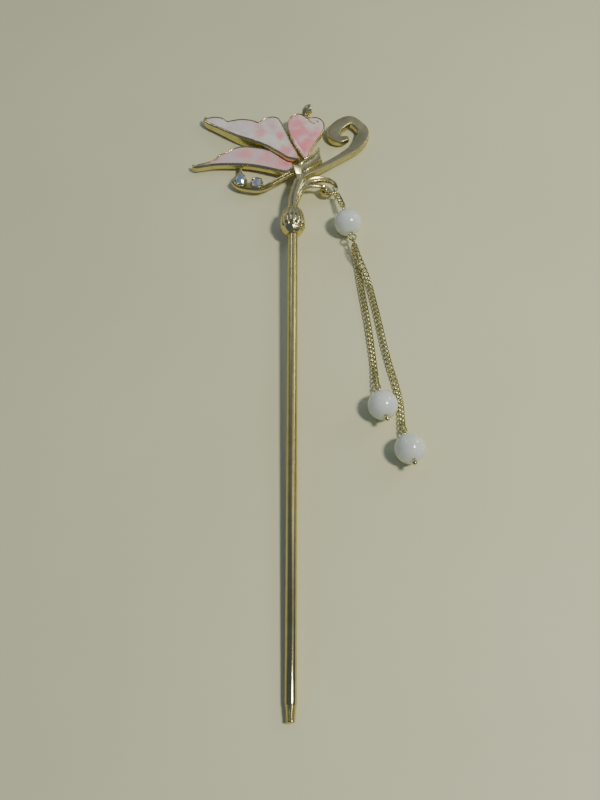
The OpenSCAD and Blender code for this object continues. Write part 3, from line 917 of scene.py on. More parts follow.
@dataclass
class Collar:
    """Lantern collar: petals round its upper part, a belt, and flat facets round its lower part.

    The profile is share of the length and share of the radius, from the stick's side.
    """

    petals: int = 10
    petal_cut: float = 0.075
    cut_start: float = 0.45
    cut_growth: float = 0.75
    crease: float = 1.5
    notch: float = 0.10
    notch_fade: float = 0.09
    bulb: float = 0.035
    bulb_at: float = 0.10
    bulb_wide: float = 0.07
    facets: int = 8
    facet_cut: float = 0.8
    lean: float = 0.5
    belt: Tuple[float, float] = (0.18, 0.245)
    mouth: float = 0.5
    mouth_low: float = 0.08
    mouth_high: float = 0.05
    around: int = 240
    rings: int = 96
    profile: Table = (
        (0.00, 0.50), (0.02, 0.58), (0.06, 0.70), (0.12, 0.79), (0.17, 0.845), (0.185, 0.80),
        (0.235, 0.825), (0.25, 0.88), (0.33, 0.955), (0.42, 0.99), (0.52, 1.00), (0.65, 0.97),
        (0.78, 0.90), (0.90, 0.81), (1.00, 0.70),
    )

    def radius(self, share: float) -> float:
        """The collar's smooth radius at a share of its length, as a share of the largest."""
        rows = self.profile
        for low, high in zip(rows, rows[1:]):
            if share <= high[0]:
                return low[1] + (high[1] - low[1]) * (share - low[0]) / (high[0] - low[0])
        return rows[-1][1]

    def swell(self, share: float, angle: float) -> float:
        """Factor of the radius that cuts the petals and the facets.

        Args:
            share: place along the collar from the stick's side.
            angle: place round the collar.

        Returns:
            The factor.
        """
        low, high = self.belt
        if share > high:
            past = share - high
            lobe = abs(math.sin(self.petals * angle / 2))
            end = max(0.0, 1 - past / self.notch_fade)
            bulb = self.bulb * lobe * math.exp(-(((past - self.bulb_at) / self.bulb_wide) ** 2))
            depth = self.petal_cut * (self.cut_start + self.cut_growth * past) + self.notch * end
            return 1 - depth * (1 - lobe) ** self.crease + bulb
        if share < low:
            step = 2 * math.pi / self.facets
            turn = (angle + self.lean * (low - share)) % step - step / 2
            flat = math.cos(step / 2) / math.cos(turn)
            return 1 - (1 - flat) * self.facet_cut
        return 1.0

    def build(self) -> None:
        """Builds the collar with a rounded lip at both ends."""
        r = PLAN.collar_d / 2
        profile = [(r * self.profile[0][1] * self.mouth, self.mouth_low)]
        for i in range(self.rings + 1):
            share = i / self.rings
            profile.append((r * self.radius(share), share * PLAN.collar_len))
        top = PLAN.collar_len - self.mouth_high
        profile.append((r * self.profile[-1][1] * self.mouth, top))
        shape = turned_rings(profile, self.around, self.swell)
        at = PLAN.along_stick() @ Matrix.Translation((0, PLAN.stick_len, 0))
        build_piece("lantern_collar", moved(at, shape), "collar", PlatedMetal(), angle=32.0)


# The casting's bars and body.


@dataclass(frozen=True)
class Bar:
    """A bar of the casting: a section swept along rows.

    A row is its place in shares of reach and rise from the root, its height in millimetres, and
    its width and thickness in shares of wide and thick.
    """

    name: str
    rows: Table
    section: Table
    root: Tuple[float, float]
    reach: float
    rise: float
    wide: float
    thick: float
    steps: int = 6
    fine: int = 4
    round_start: bool = True
    angle: float = 35.0
    finish: Finish = PlatedMetal()
    dome_rows: Tuple[float, ...] = (0.30, 0.58, 0.80, 0.94)
    dome_deep: float = 0.9

    def placed(self) -> List[List[float]]:
        """The rows in millimetres in the row frame.

        Returns:
            Rows of place, width and thickness.
        """
        return [
            [
                PLAN.stick_x + self.root[0] + r[0] * self.reach,
                PLAN.top_y + self.root[1] + r[1] * self.rise,
                r[2],
                r[3] * self.wide,
                r[4] * self.thick,
            ]
            for r in self.rows
        ]

    def domed(self, end: Tuple[Vector, Vector, float, float], sign: int) -> List[Tuple]:
        """Ever smaller sections past an end.

        Args:
            end: middle, direction, half width and half thickness there.
            sign: -1 at the start, 1 at the end.

        Returns:
            The sections, from the end outwards.
        """
        mid, t, w, h = end
        deep = min(w, h) * self.dome_deep
        made = []
        for q in self.dome_rows:
            share = math.sqrt(1 - q * q)
            made.append((mid + t * deep * (sign * q), t, w * share, h * share))
        return made

    def shape(self) -> Shape:
        """Sweeps the section and domes the ends.

        Returns:
            Points and faces.
        """
        path = smooth(self.placed(), self.steps)
        outline = closed(self.section, self.fine)
        stations = [
            (Vector(p[:3]), t, p[3] / 2, p[4] / 2) for p, t in zip(path, level_slopes(path))
        ]
        start = self.domed(stations[0], -1)[::-1] if self.round_start else []
        points = []
        stations = start + stations + self.domed(stations[-1], 1)
        for mid, t, w, h in stations:
            side = Vector((-t[1], t[0], 0))
            for s in outline:
                points.append(tuple(mid + side * (w * s[0]) + Vector((0, 0, h * s[1]))))
        return points, ring_faces(len(stations), len(outline))

    def build(self) -> None:
        """Builds the bar as its own piece of the casting."""
        build_piece(self.name, self.shape(), FRAME_NODE, self.finish, self.angle)


# Sections: shares of half the width and half the thickness. A third value of 1 marks a sharp
# corner, here and in the wings' outlines.

BAND_SECTION = (
    (-0.85, -0.85, 0), (0.00, -1.00, 0), (0.80, -0.90, 0), (1.00, -0.25, 0), (0.90, 0.40, 0),
    (0.66, 0.88, 0), (0.46, 1.00, 0), (0.28, 0.90, 0), (0.00, 0.74, 0), (-0.40, 0.64, 0),
    (-0.76, 0.50, 0), (-0.95, 0.18, 0), (-1.00, -0.30, 0),
)
ROUND_SECTION = tuple(
    (math.cos(math.radians(30 * i - 90)), math.sin(math.radians(30 * i - 90)), 0) for i in range(12)
)
TWIN_SECTION = (
    (-0.80, -0.75, 0), (0.00, -1.00, 0), (0.80, -0.75, 0), (1.00, 0.10, 0), (0.80, 0.75, 0),
    (0.52, 0.98, 0), (0.22, 0.72, 0), (0.00, 0.30, 0), (-0.22, 0.72, 0), (-0.52, 0.98, 0),
    (-0.80, 0.75, 0), (-1.00, 0.10, 0),
)
SPAR_SECTION = (
    (-1.00, -0.90, 0), (0.00, -1.00, 0), (1.00, -0.90, 0), (1.00, 0.20, 0), (0.86, 0.78, 0),
    (0.50, 0.98, 0), (-0.30, 0.96, 0), (-0.82, 0.74, 0), (-1.00, 0.20, 0),
)
RIBBON_SECTION = (
    (-0.92, -0.85, 0), (0.00, -1.00, 0), (0.92, -0.85, 0), (1.00, -0.30, 0), (1.00, 0.38, 0),
    (0.95, 0.70, 0), (0.82, 0.85, 0), (0.50, 0.92, 0), (0.00, 0.96, 0), (-0.50, 0.98, 0),
    (-0.80, 0.95, 0), (-0.94, 0.80, 0), (-1.00, 0.45, 0), (-1.00, -0.30, 0),
)
NECK_SECTION = (
    (-0.70, -0.70, 0), (0.00, -1.00, 0), (0.70, -0.70, 0), (1.00, 0.00, 0), (0.94, 0.46, 0),
    (0.74, 0.76, 0), (0.40, 0.93, 0), (0.00, 1.00, 0), (-0.40, 0.93, 0), (-0.74, 0.76, 0),
    (-0.94, 0.46, 0), (-1.00, 0.00, 0),
)

SCROLL = Bar(
    "scroll_band",
    (
        (-0.13, -0.13, 4.3, 0.50, 0.95), (-0.03, -0.05, 4.2, 0.55, 1.00),
        (0.10, 0.02, 3.8, 0.55, 1.00), (0.34, 0.18, 2.9, 0.54, 0.92),
        (0.58, 0.35, 2.1, 0.66, 0.90), (0.78, 0.51, 1.6, 0.86, 0.95),
        (0.88, 0.68, 1.3, 1.00, 1.00), (0.89, 0.80, 1.4, 0.92, 1.00),
        (0.81, 0.885, 1.8, 0.84, 0.95), (0.735, 0.935, 2.1, 0.84, 0.90),
        (0.67, 0.945, 2.2, 0.88, 0.95), (0.595, 0.92, 2.1, 0.98, 1.00),
        (0.485, 0.85, 1.9, 1.06, 1.00), (0.415, 0.745, 1.8, 1.12, 1.00),
        (0.44, 0.66, 1.8, 1.00, 0.95), (0.53, 0.62, 1.9, 0.72, 0.85),
        (0.62, 0.64, 2.0, 0.50, 0.75),
    ),
    RIBBON_SECTION, (4.7, 15.5), 19.4, 23.5, 3.8, 2.4, finish=SatinMetal(),
)
HOOK = Bar(
    "drop_hook",
    (
        (-0.02, -0.06, 4.9, 0.90, 1.10), (0.06, 0.21, 4.8, 0.95, 1.20),
        (0.13, 0.44, 4.7, 1.00, 1.20), (0.23, 0.62, 4.5, 1.00, 1.10),
        (0.38, 0.74, 4.3, 1.00, 1.00), (0.57, 0.80, 4.1, 0.95, 0.90),
        (0.77, 0.79, 3.8, 0.85, 0.80), (0.92, 0.70, 3.4, 0.66, 0.65),
        (0.97, 0.58, 3.0, 0.52, 0.52), (0.89, 0.46, 2.7, 0.52, 0.52),
        (0.75, 0.42, 2.5, 0.72, 0.72), (0.65, 0.47, 2.5, 0.80, 0.80),
        (0.62, 0.565, 2.7, 0.80, 0.80), (0.69, 0.63, 2.8, 0.80, 0.80),
    ),
    BAND_SECTION, (1.0, 3.4), 12.6, 11.5, 1.8, 1.8,
)
STRAND = Bar(
    "hook_strand",
    (
        (0.5, 2.9, 5.1, 0.7, 0.8), (1.3, 4.9, 5.2, 0.9, 1.0), (2.4, 7.4, 5.0, 1.0, 1.0),
        (4.0, 9.1, 4.7, 1.0, 0.95), (6.0, 9.9, 4.3, 0.9, 0.9), (7.9, 10.0, 3.9, 0.8, 0.8),
        (9.3, 9.5, 3.5, 0.85, 0.85), (9.9, 9.2, 3.3, 1.1, 1.1),
    ),
    ROUND_SECTION, (0.0, 0.0), 1.0, 1.0, 1.35, 1.35,
)
ARM = Bar(
    "stone_arm",
    (
        (0.00, 0.00, 4.2, 0.95, 0.90), (0.09, -0.15, 3.9, 1.00, 0.90),
        (0.28, -0.47, 3.4, 1.00, 0.90), (0.45, -0.75, 2.9, 0.95, 0.90),
        (0.60, -0.91, 2.5, 0.85, 0.85), (0.74, -0.88, 2.3, 0.68, 0.80),
        (0.87, -0.80, 2.2, 0.62, 0.80), (0.97, -0.66, 2.2, 0.52, 0.75),
        (1.03, -0.47, 2.3, 0.36, 0.70),
    ),
    TWIN_SECTION, (1.0, 15.9), -19.0, 6.6, 1.8, 1.8,
)


@dataclass
class LeafBody:
    """Folded leaf of the body: a rimmed trough on the right and a cut bud on the left."""

    rows: Table = (
        (-1.10, 15.80, 4.9, 0.35, 0.50, 0.0), (0.20, 15.70, 4.8, 1.10, 1.00, 0.0),
        (1.80, 15.60, 4.85, 1.70, 1.15, 0.15), (3.50, 16.40, 5.0, 1.85, 1.30, 0.55),
        (5.30, 17.80, 5.0, 1.75, 1.20, 0.90), (6.90, 19.35, 4.95, 1.80, 1.05, 1.0),
        (8.00, 20.70, 4.9, 1.95, 0.85, 1.0), (8.35, 21.15, 4.9, 2.05, 0.75, 1.0),
    )
    bud: Table = (
        (1.00, 0.00), (0.96, 0.42), (0.84, 0.72), (0.62, 0.92), (0.30, 1.00), (-0.05, 0.98),
        (-0.40, 0.84), (-0.70, 0.58), (-0.92, 0.28), (-1.00, 0.00),
    )
    trough: Table = (
        (1.00, 0.00), (1.02, 0.80), (0.90, 1.08), (0.74, 0.96), (0.62, 0.42), (0.10, 0.02),
        (-0.46, 0.20), (-0.76, 0.62), (-0.92, 0.56), (-1.00, 0.00),
    )
    foot: Table = ((-0.85, -0.70), (0.00, -1.00), (0.85, -0.70))
    shear: float = 1.05
    steps: int = 8
    fine: int = 3
    slant_from: float = 0.55
    slant_over: float = 0.45

    def outline(self, share: float) -> List[Tuple[float, float]]:
        """Section between the bud's and the trough's.

        Args:
            share: 0 for the bud, 1 for the trough.

        Returns:
            Places across and in height, from -1 to 1.
        """
        top = [
            (a[0] + (b[0] - a[0]) * share, a[1] + (b[1] - a[1]) * share)
            for a, b in zip(self.bud, self.trough)
        ]
        return [tuple(p) for p in smooth(top, self.fine)] + list(self.foot)

    def build(self) -> None:
        """Builds the body."""
        path = smooth(self.rows, self.steps)
        last = len(path) - 1
        points = []
        for i, (row, t) in enumerate(zip(path, level_slopes(path))):
            side = Vector((-t.y, t.x, 0))
            mid = PLAN.on_head(*row[:3])
            late = max(0.0, (i - self.slant_from * last) / (self.slant_over * last))
            slant = self.shear * late**2
            for u, v in self.outline(max(0.0, min(1.0, row[5]))):
                along = t * (slant * u * row[3])
                height = Vector((0, 0, v * row[4]))
                points.append(tuple(mid + side * (u * row[3]) + along + height))
        shape = points, ring_faces(last + 1, len(self.outline(0.0)))
        build_piece("leaf_body", shape, FRAME_NODE, PlatedMetal(), angle=30.0)


@dataclass
class Neck:
    """Round neck that rises from the collar and bends to the body."""

    side: float = 3.6
    length: float = 13.7
    end_z: float = 4.4
    across: float = 3.0
    root: Tuple[float, float] = (0.0, 0.1)
    rows: Table = (
        (0.00, 0.00, 0.00, 1.00, 1.00), (0.01, 0.14, 0.15, 1.00, 1.00),
        (0.09, 0.37, 0.40, 1.03, 1.00), (0.28, 0.60, 0.60, 1.08, 1.00),
        (0.50, 0.80, 0.76, 1.10, 0.96), (0.70, 0.94, 0.86, 0.95, 0.80),
        (0.84, 1.04, 0.92, 0.70, 0.60),
    )

    def build(self) -> None:
        """Builds the neck as a bar with the plan's heights."""
        rise = self.end_z - PLAN.top_z
        rows = tuple((x, y, PLAN.top_z + rise * z, w, h) for x, y, z, w, h in self.rows)
        Bar(
            "curved_neck", rows, NECK_SECTION, self.root, self.side, self.length, self.across,
            self.across, round_start=False,
        ).build()


# Wings.


RIM_SECTION = (
    (0.04, -0.05), (0.18, 0.04), (0.38, 0.09), (0.60, 0.09), (0.82, 0.03), (0.97, -0.08),
    (1.00, -0.2),
)
"""Top of a wing's rim: shares of its width from the outer edge, and heights."""

WALL_SECTION = ((0.10, 0.0), (0.02, 0.08), (0.0, 0.2))
"""Foot of a wing's outer wall: insets, and heights over the underside."""

CAD_MERGE = 2e-6
"""Points of a CAD mesh closer than this, in metres, are one."""

TOP_NORMAL = 0.95
TOP_FROM = -0.3
"""An enamel's top faces turn at least this far up, and lie over this height in the wing."""


@dataclass(frozen=True)
class Wing:
    """A wing: plate with a raised wire rim, a heavy edge and its enamel."""

    name: str
    enamel_node: str
    rows: Table
    long: float
    wide: float
    root: Point
    heading: float
    rise: float
    spar_rows: int = 0
    spar_tall: float = 0.0
    spar_wide: float = 1.1
    spar_out: float = 0.4
    spar_over: float = 0.27
    spar_end: float = 0.8
    keel: Tuple[float, ...] = ()
    slim: Tuple[float, ...] = ()
    plate: float = 1.3
    wall_top: float = -0.16
    tray: float = 0.7
    rim: float = 0.45
    steps: int = 8
    near: float = 0.02
    mitre_limits: Tuple[float, float] = (0.35, 1.6)

    def matrix(self) -> Matrix:
        """Places what is drawn in the wing's own frame.

        Returns:
            The matrix, in millimetres.
        """
        turn = Matrix.Rotation(math.radians(self.heading), 4, "Z") @ Matrix.Rotation(
            math.radians(self.rise), 4, "Y"
        )
        at = PLAN.on_head(*self.root)
        return Matrix.Translation(at) @ turn @ Matrix.Scale(-1, 4, (0, 1, 0))

    def edge(self) -> List[Vector]:
        """The wing's outline in its own frame.

        Returns:
            The outline's points.
        """
        made = [
            Vector((p[0] * self.long, p[1] * self.wide)) for p in closed(self.rows, self.steps)
        ]
        kept = [made[0]]
        for p in made[1:]:
            if (p - kept[-1]).length > self.near:
                kept.append(p)
        return kept

    def inward(self, edge: List[Vector]) -> List[Vector]:
        """Inward mitre of each outline point for an inset of 1.

        Args:
            edge: the outline.

        Returns:
            One vector for each point.
        """
        after = edge[1:] + edge[:1]
        turn = 1 if sum(a.x * b.y - b.x * a.y for a, b in zip(edge, after)) > 0 else -1
        least, most = self.mitre_limits
        made = []
        for i, (here, ahead) in enumerate(zip(edge, after)):
            a = (here - edge[i - 1]).normalized()
            b = (ahead - here).normalized()
            na, nb = Vector((-a.y, a.x)) * turn, Vector((-b.y, b.x)) * turn
            n = (na + nb).normalized()
            made.append(n * min(most, 1 / max(least, n.dot(na))))
        return made

    def tray_shape(self) -> Shape:
        """Plate, outer wall, rounded rim and the tray's inside as one closed shell.

        Returns:
            Points and faces in the wing's own frame.
        """
        edge = self.edge()
        mitre = self.inward(edge)
        section = [(inset, -self.plate + z) for inset, z in WALL_SECTION]
        section.append((0.0, self.wall_top))
        section += [(share * self.rim, z) for share, z in RIM_SECTION]
        section.append((self.rim, -self.tray))
        points = [
            (p.x + m.x * inset, p.y + m.y * inset, z)
            for inset, z in section
            for p, m in zip(edge, mitre)
        ]
        return points, ring_faces(len(section), len(edge))

    def spar(self) -> Shape:
        """The heavy front edge.

        Returns:
            Points and faces in the wing's own frame.
        """
        rows = []
        for i in range(self.spar_rows + 1):
            deep = self.spar_tall + (self.keel[i] if i < len(self.keel) else 0.0)
            share = self.slim[i] if i < len(self.slim) else 1.0
            if i == self.spar_rows:
                share = self.spar_end
            along, across = self.rows[i][0] * self.long, self.rows[i][1] * self.wide
            rows.append(
                (
                    along,
                    across + self.spar_wide * self.spar_out,
                    self.spar_over - deep / 2,
                    self.spar_wide * share,
                    deep,
                )
            )
        return Bar(
            self.name + "_spar", tuple(rows), SPAR_SECTION, (-PLAN.stick_x, -PLAN.top_y),
            1.0, 1.0, 1.0, 1.0,
        ).shape()

    def build_frame(self) -> None:
        """Builds the wing's metal."""
        parts = [self.tray_shape()]
        if self.spar_rows:
            parts.append(self.spar())
        shape = joined([moved(self.matrix(), part) for part in parts])
        build_piece(self.name + "_frame", shape, FRAME_NODE, PlatedMetal(), angle=38.0)

    def enamel_edge(self, node: bpy.types.Object) -> List[List[Vector]]:
        """Outline of the enamel's top, from its CAD solid.

        Args:
            node: the CAD node.

        Returns:
            Closed outlines in the wing's own frame.
        """
        back = self.matrix().inverted()
        mesh = bmesh.new()
        mesh.from_mesh(node.data)
        bmesh.ops.remove_doubles(mesh, verts=mesh.verts, dist=CAD_MERGE)
        for v in mesh.verts:
            v.co = back @ (v.co / MM)
        mesh.normal_update()
        top = {
            f for f in mesh.faces
            if abs(f.normal.z) > TOP_NORMAL and f.calc_center_median().z > TOP_FROM
        }
        follow: Dict[int, List[int]] = {}
        for f in mesh.faces:
            if f not in top:
                continue
            for loop in f.loops:
                if sum(1 for g in loop.edge.link_faces if g in top) == 1:
                    ahead = loop.link_loop_next.vert.index
                    follow.setdefault(loop.vert.index, []).append(ahead)
        mesh.verts.ensure_lookup_table()
        outlines = []
        while follow:
            start = next(iter(follow))
            here, ring = start, []
            while here in follow:
                ring.append(mesh.verts[here].co.xy.copy())
                nexts = follow[here]
                step = nexts.pop()
                if not nexts:
                    del follow[here]
                here = step
            outlines.append(ring)
        mesh.free()
        return [o for o in outlines if len(o) > 3]

    def build_enamel(self, frame: Dict[str, object], finish: Finish) -> None:
        """Builds the enamel as a domed, slightly wavy pool in its tray.

        Args:
            finish: the enamel's finish.
        """
        outline = max(self.enamel_edge(frame["nodes"][self.enamel_node]), key=len)
        shape = moved(self.matrix(), Pool(outline).shape())
        name = self.name + "_enamel_pool"
        build_piece(name, shape, self.enamel_node, finish, angle=60.0)


@dataclass
class Pool:
    """Enamel in a tray: fine mesh inside an outline, domed towards its middle."""

    outline: List[Vector]
    pitch: float = 0.30
    row_step: float = 0.866
    margin: float = 0.55
    top: float = -0.05
    bottom: float = -0.62
    dome: float = 0.20
    shoulder: float = 1.1
    wave: float = 0.07
    wave_pitch: float = 2.6
    bend: float = 0.9
    bend_pace: float = 1.3
    cross_pace: float = 0.8
    cross_shift: float = 0.5
    same_point: float = 1e-5

    def __post_init__(self) -> None:
        """Pairs the outline's points as its sides."""
        self.sides = list(zip(self.outline, self.outline[1:] + self.outline[:1]))

    def border(self) -> List[Vector]:
        """The outline with a point every pitch.

        Returns:
            The denser outline.
        """
        made = []
        for a, b in self.sides:
            parts = max(1, round((b - a).length / self.pitch))
            made += [a.lerp(b, i / parts) for i in range(parts)]
        return made

    def inside(self, p: Vector) -> bool:
        """Whether a point is inside the outline."""
        odd = False
        for a, b in self.sides:
            if (a.y > p.y) != (b.y > p.y) and p.x < (b.x - a.x) * (p.y - a.y) / (b.y - a.y) + a.x:
                odd = not odd
        return odd

    def depth(self, p: Vector) -> float:
        """Distance from a point to the outline."""
        best = math.inf
        for a, b in self.sides:
            ab = b - a
            t = max(0.0, min(1.0, (p - a).dot(ab) / max(1e-12, ab.length_squared)))
            best = min(best, (a + ab * t - p).length)
        return best

    def height(self, p: Vector) -> float:
        """Height of the enamel at a point, in the wing's frame."""
        share = min(1.0, self.depth(p) / self.shoulder)
        dome = self.dome * (1 - (1 - share) ** 2)
        u, v = p.x / self.wave_pitch, p.y / self.wave_pitch
        ripple = math.sin(u + self.bend * math.sin(v * self.bend_pace))
        ripple *= math.cos(v * self.cross_pace + self.cross_shift)
        return self.top + dome + self.wave * share * ripple

    def seeds(self) -> List[Vector]:
        """Points inside the outline in staggered rows.

        Returns:
            The points.
        """
        xs, ys = [p.x for p in self.outline], [p.y for p in self.outline]
        made = []
        row, y = 0, min(ys)
        while y < max(ys):
            x = min(xs) + (self.pitch / 2 if row % 2 else 0)
            while x < max(xs):
                p = Vector((x, y))
                if self.inside(p) and self.depth(p) > self.pitch * self.margin:
                    made.append(p)
                x += self.pitch
            y += self.pitch * self.row_step
            row += 1
        return made

    def shape(self) -> Shape:
        """Top, walls and underside.

        Returns:
            Points and faces in the wing's own frame.
        """
        border = self.border()
        count = len(border)
        ring = [(i, (i + 1) % count) for i in range(count)]
        verts, _, tris, *_ = delaunay_2d_cdt(
            border + self.seeds(), ring, [], 1, self.same_point
        )
        kept = [
            t for t in tris
            if self.inside(sum((verts[i] for i in t), Vector((0, 0))) / len(t))
        ]
        total = len(verts)
        points = [(p.x, p.y, self.height(p)) for p in verts]
        points += [(p.x, p.y, self.bottom) for p in verts]
        faces = [tuple(t) for t in kept]
        faces += [tuple(total + i for i in reversed(t)) for t in kept]
        seen = {}
        for t in kept:
            for a, b in zip(t, list(t[1:]) + [t[0]]):
                if (b, a) in seen:
                    del seen[(b, a)]
                else:
                    seen[(a, b)] = True
        faces += [(b, a, total + a, total + b) for a, b in seen]
        return points, faces


FOREWING = Wing(
    "forewing", "forewing_enamel",
    (
        (0.00, 0.00, 1), (0.10, -0.07, 0), (0.20, -0.03, 0), (0.33, 0.01, 0), (0.48, -0.01, 0),
        (0.63, -0.06, 0), (0.80, -0.06, 0), (0.97, -0.04, 0), (1.00, 0.07, 0), (0.94, 0.24, 0),
        (0.87, 0.31, 0), (0.80, 0.28, 1), (0.76, 0.39, 0), (0.70, 0.52, 0), (0.62, 0.60, 0),
        (0.55, 0.62, 1), (0.53, 0.79, 0), (0.48, 0.95, 0), (0.42, 0.98, 0), (0.36, 0.88, 0),
        (0.27, 0.68, 0), (0.16, 0.43, 0), (0.07, 0.25, 0), (0.00, 0.08, 1),
    ),
    35.5, 12.5, (1.6, 19.4, 4.9), 148.7, 3.6, 8, 2.3,
    keel=(-0.9, -0.9, -0.9, -0.2, 1.3, 0.9, 0.2), slim=(0.6, 0.6, 0.6, 0.7, 0.9),
)
HINDWING = Wing(
    "hindwing", "hindwing_enamel",
    (
        (0.00, 0.00, 1), (0.07, -0.06, 0), (0.19, 0.04, 0), (0.38, 0.20, 0), (0.55, 0.27, 0),
        (0.78, 0.28, 0), (0.97, 0.20, 0), (1.00, 0.27, 0), (0.96, 0.35, 0), (0.86, 0.43, 0),
        (0.78, 0.54, 1), (0.75, 0.69, 0), (0.68, 0.78, 1), (0.61, 0.93, 0), (0.52, 1.00, 0),
        (0.43, 0.98, 0), (0.28, 0.88, 0), (0.13, 0.66, 0), (0.00, 0.38, 1),
    ),
    31.0, 10.5, (0.1, 16.4, 3.5), 180.0, 2.2, 7, 1.8,
)
HEART_WING = Wing(
    "heart_wing", "heart_wing_enamel",
    (
        (0.02, 0.00, 1), (0.30, -0.24, 0), (0.51, -0.38, 0), (0.71, -0.46, 0), (0.86, -0.43, 0),
        (0.97, -0.31, 0), (1.00, -0.10, 0), (0.91, 0.08, 1), (0.93, 0.25, 0), (0.90, 0.40, 0),
        (0.81, 0.51, 0), (0.68, 0.53, 0), (0.54, 0.44, 0), (0.40, 0.32, 0), (0.26, 0.21, 0),
        (0.05, 0.09, 1),
    ),
    19.5, 12.0, (3.5, 18.9, 5.5), 90.0, 1.5,
)


# Small castings and stones.


@dataclass(frozen=True)
class Setting:
    """Sizes of the two stones and their cups, in millimetres.

    The cups stand by rows of the stone arm, which is smoothed in row_steps for that.
    """

    round_d: float = 3.2
    drop_w: float = 3.0
    drop_len: float = 4.8
    gap: float = 0.05
    wall: float = 0.35
    tall: float = 1.9
    foot: float = 1.4
    sink: float = 0.35
    claw: float = 0.30
    round_row: int = 17
    drop_row: int = 25
    row_steps: int = 4
    girdle_low: float = 0.15

    @property
    def round_r(self) -> float:
        """Outer radius of the round cup."""
        return self.round_d / 2 + self.gap + self.wall

    @property
    def drop_cup(self) -> Tuple[float, float]:
        """Width and length of the drop cup."""
        more = 2 * (self.gap + self.wall)
        return self.drop_w + more, self.drop_len + more

    @property
    def girdle(self) -> float:
        """Height of a stone's girdle over its cup's foot."""
        return self.tall - self.girdle_low

    def seats(self) -> Tuple[Vector, Vector]:
        """Where the feet of the round and the drop cup stand.

        Returns:
            The two places in the row frame.
        """
        rows = smooth(ARM.placed(), self.row_steps)
        a, b = rows[self.round_row], rows[self.drop_row]
        return (
            Vector((a[0], a[1] + a[3] / 2 + self.round_r - self.sink, self.foot)),
            Vector((b[0], b[1] + b[3] / 2 + self.drop_cup[1] / 2 - self.sink, self.foot)),
        )


SETTING = Setting()


def circle_at(angle: float) -> Tuple[float, float]:
    """Point of a circle of diameter 1."""
    return 0.5 * math.cos(angle), 0.5 * math.sin(angle)


PEAR_WIDE = 1.54
"""Width of the plain pear curve, which brings it to a width of 1."""


def pear_at(angle: float) -> Tuple[float, float]:
    """Point of a pear of width 1 and length 1 whose tip is at +Y."""
    a = angle - math.pi / 2
    return -math.sin(a) * abs(math.sin(a / 2)) / PEAR_WIDE, 0.5 * math.cos(a)


@dataclass
class CutStone:
    """A cut stone: table, star, kite and girdle facets over a pointed back."""

    name: str
    node: str
    outline: Callable[[float], Tuple[float, float]]
    wide: float
    long: float
    at: Vector
    sides: int = 8
    crown: float = 0.62
    girdle: float = 0.2
    back: float = 0.95
    table: float = 0.55
    star: float = 0.80
    star_rise: float = 0.55

    def ring(self, count: int, shift: float, scale: float, z: float) -> List[Point]:
        """Points of one level.

        Args:
            count: how many points.
            shift: turn, in steps.
            scale: share of the outline.
            z: height over the seat.

        Returns:
            The points.
        """
        made = []
        for i in range(count):
            x, y = self.outline(2 * math.pi * (i + shift) / count)
            px, py = self.at.x + x * self.wide * scale, self.at.y + y * self.long * scale
            made.append((px, py, self.at.z + z))
        return made

    def build(self) -> None:
        """Builds the stone's facets."""
        n = self.sides
        points = self.ring(n, 0.5, self.table, self.girdle + self.crown)
        points += self.ring(n, 0.0, self.star, self.girdle + self.crown * self.star_rise)
        points += self.ring(2 * n, 0.0, 1.0, self.girdle)
        points += self.ring(2 * n, 0.0, 1.0, 0.0)
        points += [(self.at.x, self.at.y, self.at.z - self.back)]
        table, star, rim, low, tip = 0, n, 2 * n, 4 * n, 6 * n
        faces: List[Face] = [tuple(range(n))]
        for i in range(n):
            j = (i + 1) % n
            faces.append((table + (i - 1) % n, table + i, star + i))
            faces.append((table + i, star + i, rim + 2 * i + 1, star + j))
            faces.append((star + i, rim + (2 * i - 1) % (2 * n), rim + 2 * i))
            faces.append((star + i, rim + 2 * i, rim + 2 * i + 1))
        for k in range(2 * n):
            m = (k + 1) % (2 * n)
            faces.append((rim + k, low + k, low + m, rim + m))
            faces.append((low + k, tip, low + m))
        shape = points, faces
        build_piece(self.name, shape, self.node, CoatedCrystal(), angle=1.0)


